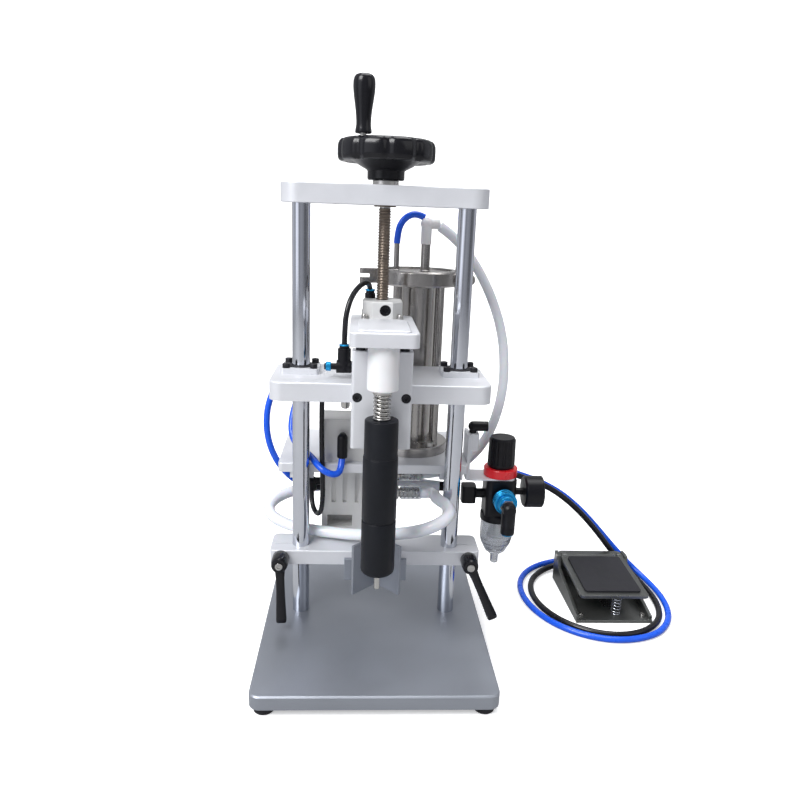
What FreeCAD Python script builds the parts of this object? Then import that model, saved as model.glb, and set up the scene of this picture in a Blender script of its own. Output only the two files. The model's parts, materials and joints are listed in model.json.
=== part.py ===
"""Bench capping press with a spring-loaded head, a dosing vessel, an air unit and a foot pedal.

The frame: Z is up, X runs along the two columns, Y runs from the open front to the back.
The origin is on the bench, midway between the columns.  Lengths are in millimetres.
"""
import FreeCAD
import Part
import Sketcher
import math
import os
import re
import sys

DIMS = {
    # base and frame
    "foot_high": 9.5,
    "base_thick": 15.5,
    "base_wide": 260,
    "base_deep": 340,
    "foot_x": 115,
    "foot_y": 155,
    "column_x": 90,
    "column_radius": 10,
    "column_long": 500,
    "socket_deep": 6,
    "top_thick": 20.5,
    "top_wide": 222,
    "top_deep": 60,
    # lead screw and handwheel
    "screw_radius": 7,
    "wheel_radius": 52,
    "handle_x": -25,
    "handle_y": -31,
    # carriage and head
    "carriage_base": 306.5,
    "carriage_thick": 20.5,
    "carriage_half": 120,
    "carriage_front": 62,
    "carriage_back": 40,
    "bearing_radius": 16,
    "head_y": -99,
    "arm_base": 376.5,
    "arm_thick": 14.5,
    "spindle_radius": 6,
    "sleeve_radius": 18.3,
    "sleeve_base": 128.5,
    "sleeve_top": 299.5,
    # clamped table and locator
    "table_base": 95,
    "table_thick": 17.5,
    "table_half": 125.5,
    "table_front": 20,
    "table_back": 28,
    "lever_x": 112,
    # rear deck, vessel and dosing unit
    "deck_base": 201,
    "deck_thick": 11,
    "deck_front": 8,
    "vessel_x": 46,
    "vessel_y": 78,
    "vessel_radius": 21,
    # air unit
    "unit_x": 156,
    "unit_y": 40,
    # foot pedal
    "pedal_left": 263,
    "pedal_right": 363,
    "pedal_front": 8,
    "pedal_back": 128,
    "pivot_y": 118,
    "pivot_z": 38,
    # tubes
    "tube_dia": 6,
    "air_dia": 8,
    "hose_dia": 12,
    "product_dia": 14,
    # running clearance of a sliding or turning fit, on the radius
    "slip": 0.05,
}

AXES = {
    "Z": FreeCAD.Rotation(),
    "X": FreeCAD.Rotation(FreeCAD.Vector(0, 1, 0), 90),
    "Y": FreeCAD.Rotation(FreeCAD.Vector(1, 0, 0), -90),
    "-X": FreeCAD.Rotation(FreeCAD.Vector(0, 1, 0), -90),
    "-Y": FreeCAD.Rotation(FreeCAD.Vector(1, 0, 0), 90),
    "-Z": FreeCAD.Rotation(FreeCAD.Vector(1, 0, 0), 180),
}

# The four flange screws of a bearing, from the column's axis.
SCREW_SPOTS = [(across, along) for across in (-15.2, 15.2) for along in (-15.2, 15.2)]

# Slope of the foot plate at rest, in degrees.
REST_PITCH = 3

doc = FreeCAD.newDocument("capping_machine")
sheet = doc.addObject("Spreadsheet::Sheet", "dims")
for row, (word, size) in enumerate(DIMS.items(), start=1):
    sheet.set(f"A{row}", word)
    sheet.set(f"B{row}", str(size))
    sheet.setAlias(f"B{row}", word)
doc.recompute()

NODES = []


# ---------------------------------------------------------------- expressions
def bound(text):
    """An expression whose plain words are read from the sheet."""
    return re.sub(r"[a-z_]+", lambda found: f"dims.{found[0]}" if found[0] in DIMS else found[0], str(text))


def number(text):
    """The present value of such an expression."""
    return float(sheet.evalExpression(bound(text)))


def bind(item, prop, text):
    """Tie a property of an object to an expression."""
    item.setExpression(prop, bound(text))


def place(item, spot, axis="Z"):
    """Put an object at a spot of three expressions, with its own Z along an axis."""
    item.Placement = FreeCAD.Placement(FreeCAD.Vector(*[number(value) for value in spot]), AXES[axis])
    for letter, value in zip("xyz", spot):
        bind(item, f"Placement.Base.{letter}", value)
    return item


def node(item, label):
    """Name a finished sub-part; it is written to its own file."""
    item.Label = label
    NODES.append(item)
    return item


# ---------------------------------------------------------------- primitives and booleans
def cylinder(spot, radius, length, axis="Z"):
    """A solid cylinder from its base centre."""
    item = doc.addObject("Part::Cylinder", "cylinder")
    bind(item, "Radius", radius)
    bind(item, "Height", length)
    return place(item, spot, axis)


def cone(spot, radius_start, radius_end, length, axis="Z"):
    """A solid cone, or a tapered cylinder, from its base centre."""
    item = doc.addObject("Part::Cone", "cone")
    bind(item, "Radius1", radius_start)
    bind(item, "Radius2", radius_end)
    bind(item, "Height", length)
    return place(item, spot, axis)


def sphere(spot, radius):
    """A solid ball round a centre."""
    item = doc.addObject("Part::Sphere", "sphere")
    bind(item, "Radius", radius)
    return place(item, spot)


def box(low, size):
    """A solid box from its low corner."""
    item = doc.addObject("Part::Box", "box")
    for prop, value in zip(("Length", "Width", "Height"), size):
        bind(item, prop, value)
    return place(item, low)


def fuse(*items):
    """One object joined from several."""
    item = doc.addObject("Part::MultiFuse", "fuse")
    item.Shapes = list(items)
    item.Refine = True
    return item


def cut(base, *tools):
    """An object with others taken out of it."""
    item = doc.addObject("Part::Cut", "cut")
    item.Base = base
    item.Tool = tools[0] if len(tools) == 1 else fuse(*tools)
    return item


def group(*items):
    """Identical or matching solids kept together in one node."""
    item = doc.addObject("Part::Compound", "group")
    item.Links = list(items)
    return item


def soften(base, radius, chosen, kind="Part::Fillet"):
    """Fillet or chamfer the edges that a test picks."""
    doc.recompute()
    size = number(radius)
    item = doc.addObject(kind, "softened")
    item.Base = base
    picks = [index for index, edge in enumerate(base.Shape.Edges, start=1) if chosen(edge)]
    item.Edges = [(index, size, size) for index in picks]
    return item


def upright(edge):
    """True for a straight edge along Z."""
    ends = [vertex.Point for vertex in edge.Vertexes]
    return len(ends) == 2 and abs(ends[0].z - ends[1].z) > 1 and (ends[0] - ends[1]).cross(
        FreeCAD.Vector(0, 0, 1)).Length < 1e-6


def level_at(height):
    """A test for edges that lie flat at a height."""
    wanted = number(height)
    return lambda edge: all(abs(vertex.Point.z - wanted) < 1e-6 for vertex in edge.Vertexes)


# ---------------------------------------------------------------- sketched bodies
def new_body():
    """An empty body with its own origin."""
    body = doc.addObject("PartDesign::Body", "body")
    doc.recompute()
    return body


def new_sketch(body, plane, offset="0"):
    """A sketch on one of the body's origin planes, moved along the plane's normal."""
    sketch = body.newObject("Sketcher::SketchObject", "sketch")
    origin = [item for item in body.Origin.OriginFeatures if item.Role == plane][0]
    sketch.AttachmentSupport = [(origin, "")]
    sketch.MapMode = "FlatFace"
    bind(sketch, "AttachmentOffset.Base.z", offset)
    return sketch


def pin_point(sketch, geometry, end, across, along):
    """Hold a point of a sketch at two bound distances from its origin."""
    for kind, value in (("DistanceX", across), ("DistanceY", along)):
        index = sketch.addConstraint(Sketcher.Constraint(kind, -1, 1, geometry, end, number(value)))
        bind(sketch, f"Constraints[{index}]", value)


def outline(sketch, corners):
    """A closed run of straight edges through bound corners."""
    spots = [FreeCAD.Vector(number(across), number(along), 0) for across, along in corners]
    for index, spot in enumerate(spots):
        sketch.addGeometry(Part.LineSegment(spot, spots[(index + 1) % len(spots)]))
    for index, (across, along) in enumerate(corners):
        sketch.addConstraint(Sketcher.Constraint("Coincident", index, 2, (index + 1) % len(spots), 1))
        pin_point(sketch, index, 1, across, along)


def circle(sketch, across, along, radius):
    """A circle held by its bound centre and radius."""
    centre = FreeCAD.Vector(number(across), number(along), 0)
    index = sketch.addGeometry(Part.Circle(centre, FreeCAD.Vector(0, 0, 1), number(radius)))
    pin_point(sketch, index, 3, across, along)
    held = sketch.addConstraint(Sketcher.Constraint("Radius", index, number(radius)))
    bind(sketch, f"Constraints[{held}]", radius)


def pad(body, sketch, length, name="pad"):
    """Raise a sketch along its plane's normal."""
    feature = body.newObject("PartDesign::Pad", name)
    feature.Profile = sketch
    bind(feature, "Length", length)
    sketch.Visibility = False
    doc.recompute()
    return feature


def pocket(body, sketch, depth, upward=False):
    """Cut a sketch downward from its plane, or upward when asked, and see that it removed something."""
    before = body.Shape.Volume
    feature = body.newObject("PartDesign::Pocket", "pocket")
    feature.Profile = sketch
    bind(feature, "Length", depth)
    feature.Reversed = upward
    doc.recompute()
    if body.Shape.Volume > before - 0.1:
        sys.exit(f"a pocket of {body.Label} cuts nothing")
    return feature


def dress(body, kind, radius, chosen):
    """A fillet or chamfer of the body's latest feature on the edges that a test picks."""
    base = body.Tip
    picks = [f"Edge{index}" for index, edge in enumerate(base.Shape.Edges, start=1) if chosen(edge)]
    feature = body.newObject(f"PartDesign::{kind}", kind.lower())
    feature.Base = (base, picks)
    bind(feature, "Radius" if kind == "Fillet" else "Size", radius)
    doc.recompute()
    return feature


def plate(low, size, corner):
    """A padded slab with rounded upright corners: low corner and size are bound expressions."""
    body = new_body()
    sketch = new_sketch(body, "XY_Plane", low[2])
    left, front = low[0], low[1]
    right, back = f"{low[0]} + {size[0]}", f"{low[1]} + {size[1]}"
    outline(sketch, [(left, front), (right, front), (right, back), (left, back)])
    pad(body, sketch, size[2])
    dress(body, "Fillet", corner, upright)
    return body


def drill(body, spots, height, radius, depth, upward=False):
    """Round pockets at several spots, all of one radius and depth, from one level."""
    sketch = new_sketch(body, "XY_Plane", height)
    for across, along in spots:
        circle(sketch, across, along, radius)
    pocket(body, sketch, depth, upward)


def turned(profile, spot=("0", "0", "0"), axis="Z"):
    """A body turned from a profile of (radius, height) pairs about its own Z."""
    body = new_body()
    sketch = new_sketch(body, "XZ_Plane")
    outline(sketch, profile)
    feature = body.newObject("PartDesign::Revolution", "turning")
    feature.Profile = sketch
    feature.ReferenceAxis = (sketch, ["V_Axis"])
    feature.Angle = 360
    doc.recompute()
    return place(body, spot, axis)


def sides(sign_word="column_x"):
    """The left and right of a mirrored pair, as a minus and a plus expression."""
    return (f"-{sign_word}", sign_word)


# ---------------------------------------------------------------- cords
def cord(label, points, diameter):
    """A tube through hand-chosen points: straight runs joined by the largest tangent arcs they allow."""
    spots = [FreeCAD.Vector(*point) for point in points]
    edges = []
    start = spots[0]
    radii = []
    for before, corner, after in zip(spots, spots[1:], spots[2:]):
        inward = (corner - before).normalize()
        outward = (after - corner).normalize()
        turn = inward.getAngle(outward)
        reach = 0.45 * min((corner - before).Length, (after - corner).Length)
        radii.append(reach / math.tan(turn / 2))
        first = corner - inward * reach
        last = corner + outward * reach
        middle_way = (outward - inward).normalize()
        sagitta = radii[-1] * (1 / math.cos(turn / 2) - 1)
        edges.append(Part.LineSegment(start, first).toShape())
        edges.append(Part.Arc(first, corner + middle_way * sagitta, last).toShape())
        start = last
    edges.append(Part.LineSegment(start, spots[-1]).toShape())
    path = Part.Wire(edges)
    radius = number(diameter) / 2
    section = Part.Wire([Part.Circle(spots[0], spots[1] - spots[0], radius).toShape()])
    tube = path.makePipeShell([section], True, False, 2)
    item = doc.addObject("Part::Feature", "cord")
    item.Shape = tube
    item.Placement = FreeCAD.Placement()
    share = tube.Volume / (math.pi * radius ** 2 * path.Length)
    print(f"{label}: length {path.Length:.1f}, smallest radius {min(radii):.1f}, volume share {share:.3f}")
    return node(item, label)


ROUTES = {
    "head_tube": ("tube_dia", [
        (-40.5, -36, 363), (-40.5, -35.5, 378), (-39.5, -34, 396), (-35, -28, 413), (-27.5, -17, 424),
        (-19.5, -3, 429), (-14.5, 7, 426), (-13.5, 13, 418)]),
    "cylinder_tube": ("tube_dia", [
        (-66, 4.2, 306.2), (-66.6, 4, 270), (-66, 4.2, 232), (-65, 4, 200), (-64.5, 5, 174), (-66, 10, 152),
        (-71, 18, 142), (-77, 28, 146), (-80, 37, 156), (-80, 40, 168)]),
    "tube_left_outer": ("air_dia", [
        (-105, 68, 301), (-118, 67, 300), (-130, 62, 287), (-137, 55, 262), (-136, 50, 232), (-127, 50, 204),
        (-112, 56, 180), (-96, 66, 164), (-82, 74, 159), (-77, 75, 158)]),
    "tube_left_inner": ("air_dia", [
        (-97, 68, 294), (-99, 64, 280), (-104, 54, 264), (-106, 42, 247), (-102, 33, 233), (-92, 24, 224),
        (-79.5, 13.5, 220), (-68, -5.5, 212), (-58, -9, 206.5), (-48, -6.5, 203.5), (-42.8, 1.5, 208),
        (-42, 8, 222)]),
    "lid_tube": ("air_dia", [
        (18, 78, 469), (18.5, 78, 482), (23, 78.5, 495), (33, 79, 503), (43, 79.5, 503.5), (50, 80, 500)]),
    "fill_hose": ("hose_dia", [
        (69.5, 80, 490), (87, 83, 479), (108, 87, 457), (130, 91, 425), (147, 92, 389), (157, 91, 356),
        (161, 88, 323), (161, 85, 292), (156, 82, 262), (147, 78, 236), (134, 74, 213), (115, 70, 195),
        (97, 61, 189), (77, 49, 187.5), (57, 45, 187)]),
    "product_hose": ("product_dia", [
        (57, 45, 162), (66, 43, 163.5), (71.5, 34, 166), (72, 20, 169.5), (71.5, 4, 172.5), (75, -12, 175),
        (82, -27, 175.5), (84, -42, 172.5), (76, -54, 168), (61, -58, 161.5), (45, -53, 154),
        (29, -41, 146), (12, -26, 137), (-7, -11, 129.5), (-30, 2, 124), (-55, 12, 121.8), (-81, 19, 121.8),
        (-106, 26, 124), (-127, 38, 128), (-137, 56, 133), (-131, 76, 138), (-112, 93, 142), (-86, 103, 145),
        (-56, 107, 148), (-25, 107, 152), (5, 103, 156), (31, 95, 159), (52, 83, 161), (68, 75.5, 160.5),
        (84, 74, 160)]),
    "pedal_tube_blue": ("air_dia", [
        (144, 69, 176), (146, 88, 177), (156, 107, 174), (176, 120, 168), (203, 126, 159), (234, 130, 147),
        (266, 134, 129), (296, 139, 104), (323, 144, 76), (348, 147, 48), (371, 143, 24), (389, 128, 9),
        (398, 103, 4.3), (400, 72, 4.3), (396, 37, 4.3), (383, 4, 4.3), (358, -23, 4.3), (323, -36, 4.3),
        (288, -36, 4.3), (255, -22, 4.3), (229, 2, 4.3), (212, 34, 4.3), (205, 70, 4.3), (209, 106, 4.3),
        (225, 137, 4.3), (251, 158, 5), (280, 165, 8), (305, 159, 12), (318, 145, 14), (320, 128, 14)]),
    "pedal_tube_black": ("air_dia", [
        (160, 69, 176), (162, 84, 177), (172, 98, 173), (191, 108, 165), (216, 115, 155), (246, 121, 141),
        (276, 126, 119), (303, 131, 93), (327, 136, 66), (347, 138, 41), (365, 134, 21), (379, 120, 9),
        (386, 97, 4.3), (388, 68, 4.3), (384, 37, 4.3), (372, 8, 4.3), (348, -15, 4.3), (318, -26, 4.3),
        (287, -24, 4.3), (259, -10, 4.3), (237, 13, 4.3), (223, 43, 4.3), (219, 76, 4.3), (226, 109, 4.3),
        (243, 134, 4.3), (264, 149, 6), (284, 151, 11), (298, 143, 14), (300, 128, 14)]),
}


# ---------------------------------------------------------------- frame
def base_plate():
    body = plate(("-base_wide / 2", "-base_deep / 2", "foot_high"), ("base_wide", "base_deep", "base_thick"), "12")
    dress(body, "Chamfer", "1.6", level_at("foot_high + base_thick"))
    columns = [(across, "0") for across in sides()]
    top = "foot_high + base_thick"
    drill(body, columns, top, "column_radius", "socket_deep")
    drill(body, columns, "foot_high", "4.4", "base_thick", upward=True)
    drill(body, columns, "foot_high", "7.2", "5", upward=True)
    feet = [(across, along) for across in sides("foot_x") for along in sides("foot_y")]
    drill(body, feet, "foot_high", "2.5", "10.5", upward=True)
    return node(body, "base_plate")


def rubber_feet():
    """Tapered feet; the hole through each lines up with a tapped hole in the base."""
    profile = [("2.5", "0"), ("10", "0"), ("11", "1"), ("12.5", "foot_high"), ("2.5", "foot_high")]
    feet = [turned(profile, (across, along, "0")) for across in sides("foot_x") for along in sides("foot_y")]
    return node(group(*feet), "rubber_feet")


def columns():
    """Ground steel columns with a tapped hole in each end."""
    low = "foot_high + base_thick - socket_deep"
    made = []
    for across in sides():
        rod = cylinder((across, "0", low), "column_radius", "column_long")
        holes = [cylinder((across, "0", low), "4", "22"),
                 cylinder((across, "0", f"{low} + column_long - 22"), "4", "22")]
        shaft = cut(rod, *holes)
        made.append(soften(shaft, "0.8", lambda edge: edge.Length > 60, "Part::Chamfer"))
    node(made[0], "column_left")
    node(made[1], "column_right")


def top_plate():
    low = "foot_high + base_thick - socket_deep + column_long - 8"
    body = plate(("-top_wide / 2", "-top_deep / 2", low), ("top_wide", "top_deep", "top_thick"), "20")
    dress(body, "Fillet", "1.2", level_at(f"{low} + top_thick"))
    spots = [(across, "0") for across in sides()]
    drill(body, spots, low, "column_radius", "8", upward=True)
    drill(body, spots, f"{low} + top_thick", "4.4", "top_thick")
    drill(body, spots, f"{low} + top_thick", "7.2", "5")
    drill(body, [("0", "0")], low, "9", "top_thick", upward=True)
    return node(body, "top_plate")


def screw_bushing():
    """Bronze flanged bush that carries the lead screw in the top plate."""
    return node(turned([
        ("screw_radius - 1 + slip", "509.5"), ("12", "509.5"), ("12", "511"), ("9", "511"), ("9", "531.5"),
        ("screw_radius - 1 + slip", "531.5")]), "screw_bushing")


def frame_screws():
    """Button-head screws at the column ends and the four that hold the vessel's flange."""
    made = []
    for across in sides():
        made.append(turned([("0", "10"), ("7", "10"), ("7", "14.5"), ("4", "14.5"), ("4", "34"), ("0", "34")],
                           (across, "0", "0")))
        made.append(turned([("0", "499"), ("4", "499"), ("4", "526.5"), ("7", "526.5"), ("7", "530"),
                            ("5.5", "531.2"), ("0", "531.2")], (across, "0", "0")))
    for turn in (60, 120, 240, 300):
        reach_x = 38 * math.cos(math.radians(turn))
        reach_y = 38 * math.sin(math.radians(turn))
        spot = (f"vessel_x + {reach_x:.3f}", f"vessel_y + {reach_y:.3f}", "0")
        made.append(turned([("0", "224"), ("4.2", "224"), ("4.2", "229"), ("3.6", "229.6"), ("0", "229.6")], spot))
    return node(group(*made), "frame_screws")


# ---------------------------------------------------------------- lead screw, wheel and handle
def lead_screw():
    """Screw with its journal, thrust collar and the stub that the wheel is pinned to."""
    return node(turned([
        ("0", "330"), ("screw_radius - 1.2", "330"), ("screw_radius", "331.5"), ("screw_radius", "509.3"),
        ("screw_radius - 1", "509.3"), ("screw_radius - 1", "532"), ("14", "532"), ("14", "536.4"),
        ("13.4", "537"), ("screw_radius - 1", "537"), ("screw_radius - 1", "559"), ("0", "559")]), "lead_screw")


def handwheel():
    """Lobed wheel: a turned blank, shallow finger scallops and the pin of the handle."""
    body = new_body()
    sketch = new_sketch(body, "XZ_Plane")
    outline(sketch, [
        ("screw_radius - 1", "537"), ("19", "537"), ("20", "538"), ("20", "546"), ("22", "548"), ("38", "558"),
        ("42", "555.5"), ("47", "554.5"), ("wheel_radius - 1.5", "556"), ("wheel_radius", "559"),
        ("wheel_radius", "571"), ("wheel_radius - 1.5", "575"), ("47", "577.5"), ("40", "578"), ("32", "577"),
        ("29", "573"), ("27", "566"), ("20", "564"), ("14", "566"), ("screw_radius - 1", "566")])
    turning = body.newObject("PartDesign::Revolution", "blank")
    turning.Profile = sketch
    turning.ReferenceAxis = (sketch, ["V_Axis"])
    turning.Angle = 360
    doc.recompute()
    scallop_sketch = new_sketch(body, "XY_Plane", "580")
    circle(scallop_sketch, "(wheel_radius + 14.5) * cos(18)", "(wheel_radius + 14.5) * sin(18)", "17")
    scallop = pocket(body, scallop_sketch, "30")
    pattern = body.newObject("PartDesign::PolarPattern", "scallops")
    pattern.Originals = [scallop]
    pattern.Axis = (scallop_sketch, ["N_Axis"])
    pattern.Angle = 360
    pattern.Occurrences = 10
    body.Tip = pattern
    doc.recompute()
    pin = cylinder(("handle_x", "handle_y", "570"), "3", "30")
    head = cylinder(("handle_x", "handle_y", "600"), "4.6", "2.4")
    return node(fuse(body, pin, head), "handwheel")


def wheel_handle():
    """Revolving grip; its bore is stepped over the head of the pin."""
    return node(turned([
        ("3 + slip", "580.3"), ("8", "580.3"), ("8.6", "582"), ("7.6", "588"), ("8.2", "600"), ("10.2", "614"),
        ("11.2", "624"), ("11", "630"), ("9.4", "634"), ("6", "636"), ("0", "636.4"), ("0", "606"),
        ("5", "606"), ("5", "599.7"), ("3 + slip", "599.7")], ("handle_x", "handle_y", "0")), "wheel_handle")


# ---------------------------------------------------------------- carriage
def bearing_screw_spots():
    """The eight flange screws, four round each column."""
    return [(f"{side} + {across}", f"{along}") for side in sides() for across, along in SCREW_SPOTS]


def carriage_plate():
    body = plate(("-carriage_half", "-carriage_front", "carriage_base"),
                 ("2 * carriage_half", "carriage_front + carriage_back", "carriage_thick"), "14")
    top = "carriage_base + carriage_thick"
    dress(body, "Chamfer", "1", level_at(top))
    drill(body, [(across, "0") for across in sides()], top, "bearing_radius", "carriage_thick")
    drill(body, [("0", "0")], top, "10", "carriage_thick")
    drill(body, bearing_screw_spots(), top, "2.5", "10")
    holes = [cylinder((across, "-carriage_front", "316.5"), "3", "20", "Y") for across in ("-25.5", "25.5")]
    return node(cut(body, *holes), "carriage_plate")


def flange_bearings():
    """Square-flanged linear bearings, pressed into the carriage from above."""
    made = []
    for side in sides():
        flange = soften(box((f"{side} - 21", "-21", "carriage_base + carriage_thick"), ("42", "42", "6")), "3", upright)
        barrel = cylinder((side, "0", "298"), "bearing_radius", "30")
        holes = [cylinder((side, "0", "297"), "column_radius + slip", "40")]
        for across, along in SCREW_SPOTS:
            holes.append(cylinder((f"{side} + {across}", f"{along}", "326"), "2.5", "9"))
        made.append(cut(fuse(flange, barrel), *holes))
    return node(group(*made), "flange_bearings")


def carriage_screws():
    """Cap screws of the bearings, the head upright and the nut block, and the two guide posts."""
    made = [turned([("0", "317"), ("2.5", "317"), ("2.5", "333"), ("4.2", "333"), ("4.2", "337.5"),
                    ("3.8", "338"), ("2.2", "338"), ("2.2", "335.5"), ("0", "335.5")], (across, along, "0"))
            for across, along in bearing_screw_spots()]
    for across in ("-25.5", "25.5"):
        made.append(turned([("0", "2.6"), ("2.6", "2.6"), ("2.6", "0"), ("5", "0"), ("5", "5"), ("3", "5"),
                            ("3", "33"), ("0", "33")], (across, "-80", "316.5"), "Y"))
    for across in ("-19.5", "19.5"):
        for along in ("-22", "18"):
            made.append(turned([("0", "391"), ("3.4", "391"), ("3.4", "395.6"), ("3", "396"), ("1.6", "396"),
                                ("1.6", "394"), ("0", "394")], (across, along, "0")))
    for across in ("-23", "23"):
        made.append(cylinder((across, "-71", "325"), "5", "57.5"))
    return node(group(*made), "carriage_screws")


def head_upright():
    """Plate in front of the carriage that carries the arm on two posts."""
    slab = soften(box(("-31.7", "-80", "261"), ("63.4", "18", "104.5")), "3.5",
                  lambda edge: upright(edge) and edge.Vertexes[0].Point.y < number("-79"))
    holes = []
    for across in ("-25.5", "25.5"):
        holes.append(cylinder((across, "-81", "316.5"), "3", "20", "Y"))
        holes.append(cylinder((across, "-81", "316.5"), "5.2", "6", "Y"))
    for across in ("-23", "23"):
        holes.append(cylinder((across, "-71", "325"), "5", "50"))
    return node(cut(slab, *holes), "head_upright")


def head_arm():
    """Arm with the short-stroke air cylinder bored into its front."""
    body = plate(("-34.5", "-120", "arm_base"), ("69", "132", "arm_thick"), "8")
    top = "arm_base + arm_thick"
    dress(body, "Fillet", "1.5", level_at(top))
    drill(body, [("0", "head_y")], top, "16", "11")
    drill(body, [("0", "head_y")], top, "spindle_radius + slip", "arm_thick")
    drill(body, [("0", "0")], top, "screw_radius + 0.6", "arm_thick")
    drill(body, [("-23", "-71"), ("23", "-71")], "arm_base", "5", "6", upward=True)
    return node(body, "head_arm")


def arm_cover():
    body = plate(("-26", "-116", "arm_base + arm_thick"), ("52", "78", "2.2"), "5")
    dress(body, "Chamfer", "0.8", level_at("arm_base + arm_thick + 2.2"))
    return node(body, "arm_cover")


def air_block():
    """Ported block between the carriage and the arm."""
    block = box(("-22", "-58", "carriage_base + carriage_thick"), ("44", "44", "49.5"))
    return node(soften(block, "2", upright), "air_block")


def nut_block():
    """Eight-sided block that holds the thread of the lead screw."""
    body = new_body()
    sketch = new_sketch(body, "XY_Plane", "391")
    outline(sketch, [("-11", "-25"), ("11", "-25"), ("22", "-14"), ("22", "10"), ("11", "21"), ("-11", "21"),
                     ("-22", "10"), ("-22", "-14")])
    pad(body, sketch, "19")
    dress(body, "Chamfer", "1.4", level_at("410"))
    drill(body, [("0", "0")], "410", "screw_radius + slip", "19")
    mouth = cylinder(("3", "-26", "400.5"), "6.2", "9", "Y")
    return node(cut(body, mouth), "nut_block")


def guide_nose():
    """White plastic nose that guides the spindle under the arm."""
    return node(turned([
        ("spindle_radius + slip", "330"), ("14.8", "330"), ("16", "331.2"), ("16", "arm_base"),
        ("spindle_radius + slip", "arm_base")], ("0", "head_y", "0")), "guide_nose")


def head_fittings():
    """Flow-control fitting on the air block and the push-in port on the nut block."""
    stem = cylinder(("-32", "-36", "340"), "5", "10", "X")
    hexagon = cylinder(("-35", "-36", "340"), "6.2", "4", "X")
    cross = cylinder(("-49", "-36", "340"), "7", "16", "X")
    needle = cylinder(("-62", "-36", "340"), "3.6", "14", "X")
    knob = cylinder(("-60", "-36", "340"), "5", "5", "X")
    barrel = cylinder(("-40.5", "-36", "336"), "7.2", "24", "Z")
    collar = cylinder(("-40.5", "-36", "360"), "5.6", "3", "Z")
    port = turned([("0", "410"), ("6", "410"), ("6", "415"), ("4.8", "416"), ("4.8", "418"), ("0", "418")],
                  ("-13.5", "13", "0"))
    return node(group(fuse(stem, hexagon, cross, needle, knob, barrel, collar), port), "head_fittings")


# ---------------------------------------------------------------- pressing head
def press_spindle():
    """Piston, spindle and the collar that seats the spring."""
    return node(turned([
        ("0", "240"), ("spindle_radius", "240"), ("spindle_radius", "326.5"), ("10", "326.5"), ("10", "329.5"),
        ("spindle_radius", "329.5"), ("spindle_radius", "386.6"), ("16 - slip", "386.6"), ("16 - slip", "390.8"),
        ("0", "390.8")], ("0", "head_y", "0")), "press_spindle")


def collet_holder():
    """Steel holder pressed on the spindle's end; its chamber keeps the centre pin."""
    return node(turned([
        ("3.25", "180"), ("10.5", "180"), ("13 - slip", "184"), ("13 - slip", "262"), ("spindle_radius", "262"),
        ("spindle_radius", "240"), ("5", "240"), ("5", "205"), ("3.25", "205")], ("0", "head_y", "0")),
        "collet_holder")


def crimp_sleeve():
    """Black sleeve that slides up the spindle against the spring."""
    return node(turned([
        ("13", "sleeve_base"), ("15", "sleeve_base"), ("17.4", "sleeve_base + 1.8"), ("sleeve_radius", "sleeve_base + 5.6"),
        ("sleeve_radius", "188.4"), ("sleeve_radius - 0.9", "189"), ("sleeve_radius - 0.9", "190.4"),
        ("sleeve_radius", "191"), ("sleeve_radius", "258.8"), ("sleeve_radius - 0.5", "259"),
        ("sleeve_radius - 0.5", "259.8"), ("17.5", "260"), ("17.5", "298.5"), ("16.5", "sleeve_top"),
        ("spindle_radius + slip", "sleeve_top"), ("spindle_radius + slip", "262"), ("13", "262")],
        ("0", "head_y", "0")), "crimp_sleeve")


def head_spring():
    """Envelope of the coil between the spindle's collar and the sleeve."""
    return node(turned([
        ("6.8", "sleeve_top"), ("9.2", "sleeve_top"), ("9.2", "326.5"), ("6.8", "326.5")],
        ("0", "head_y", "0")), "head_spring")


def centre_pin():
    return node(turned([
        ("0", "108"), ("2.4", "108"), ("3.2", "109"), ("3.2", "205.3"), ("4.8", "205.3"), ("4.8", "209"),
        ("0", "209")], ("0", "head_y", "0")), "centre_pin")


# ---------------------------------------------------------------- clamped table
def lower_table():
    """Table clamped on the columns: a slit runs from each column bore to the end."""
    top = "table_base + table_thick"
    body = plate(("-table_half", "-table_front", "table_base"),
                 ("2 * table_half", "table_front + table_back", "table_thick"), "7")
    dress(body, "Chamfer", "0.8", level_at(top))
    drill(body, [(across, "0") for across in sides()], top, "column_radius + slip", "table_thick")
    slit_wide = "table_half - column_x"
    slits = [box(("column_x", "-0.8", "table_base - 1"), (f"{slit_wide} + 1", "1.6", "table_thick + 2")),
             box(("-table_half - 1", "-0.8", "table_base - 1"), (f"{slit_wide} + 1", "1.6", "table_thick + 2"))]
    holes = [cylinder((across, "-table_front - 1", "103.5"), "4.05", "45", "Y") for across in sides("lever_x")]
    return node(cut(body, *slits, *holes), "lower_table")


def bottle_locator():
    """V of thick sheet that centres a bottle, on a cross bar at the table's front."""
    body = new_body()
    sketch = new_sketch(body, "XY_Plane", "79")
    outline(sketch, [("0", "-36"), ("26", "-62"), ("28.1", "-59.9"), ("0", "-31.8"), ("-28.1", "-59.9"),
                     ("-26", "-62")])
    pad(body, sketch, "60")
    web = box(("-6", "-36", "79"), ("12", "13", "25"))
    bar = box(("-37", "-24", "77"), ("74", "4", "27"))
    return node(fuse(body, web, bar), "bottle_locator")


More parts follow.
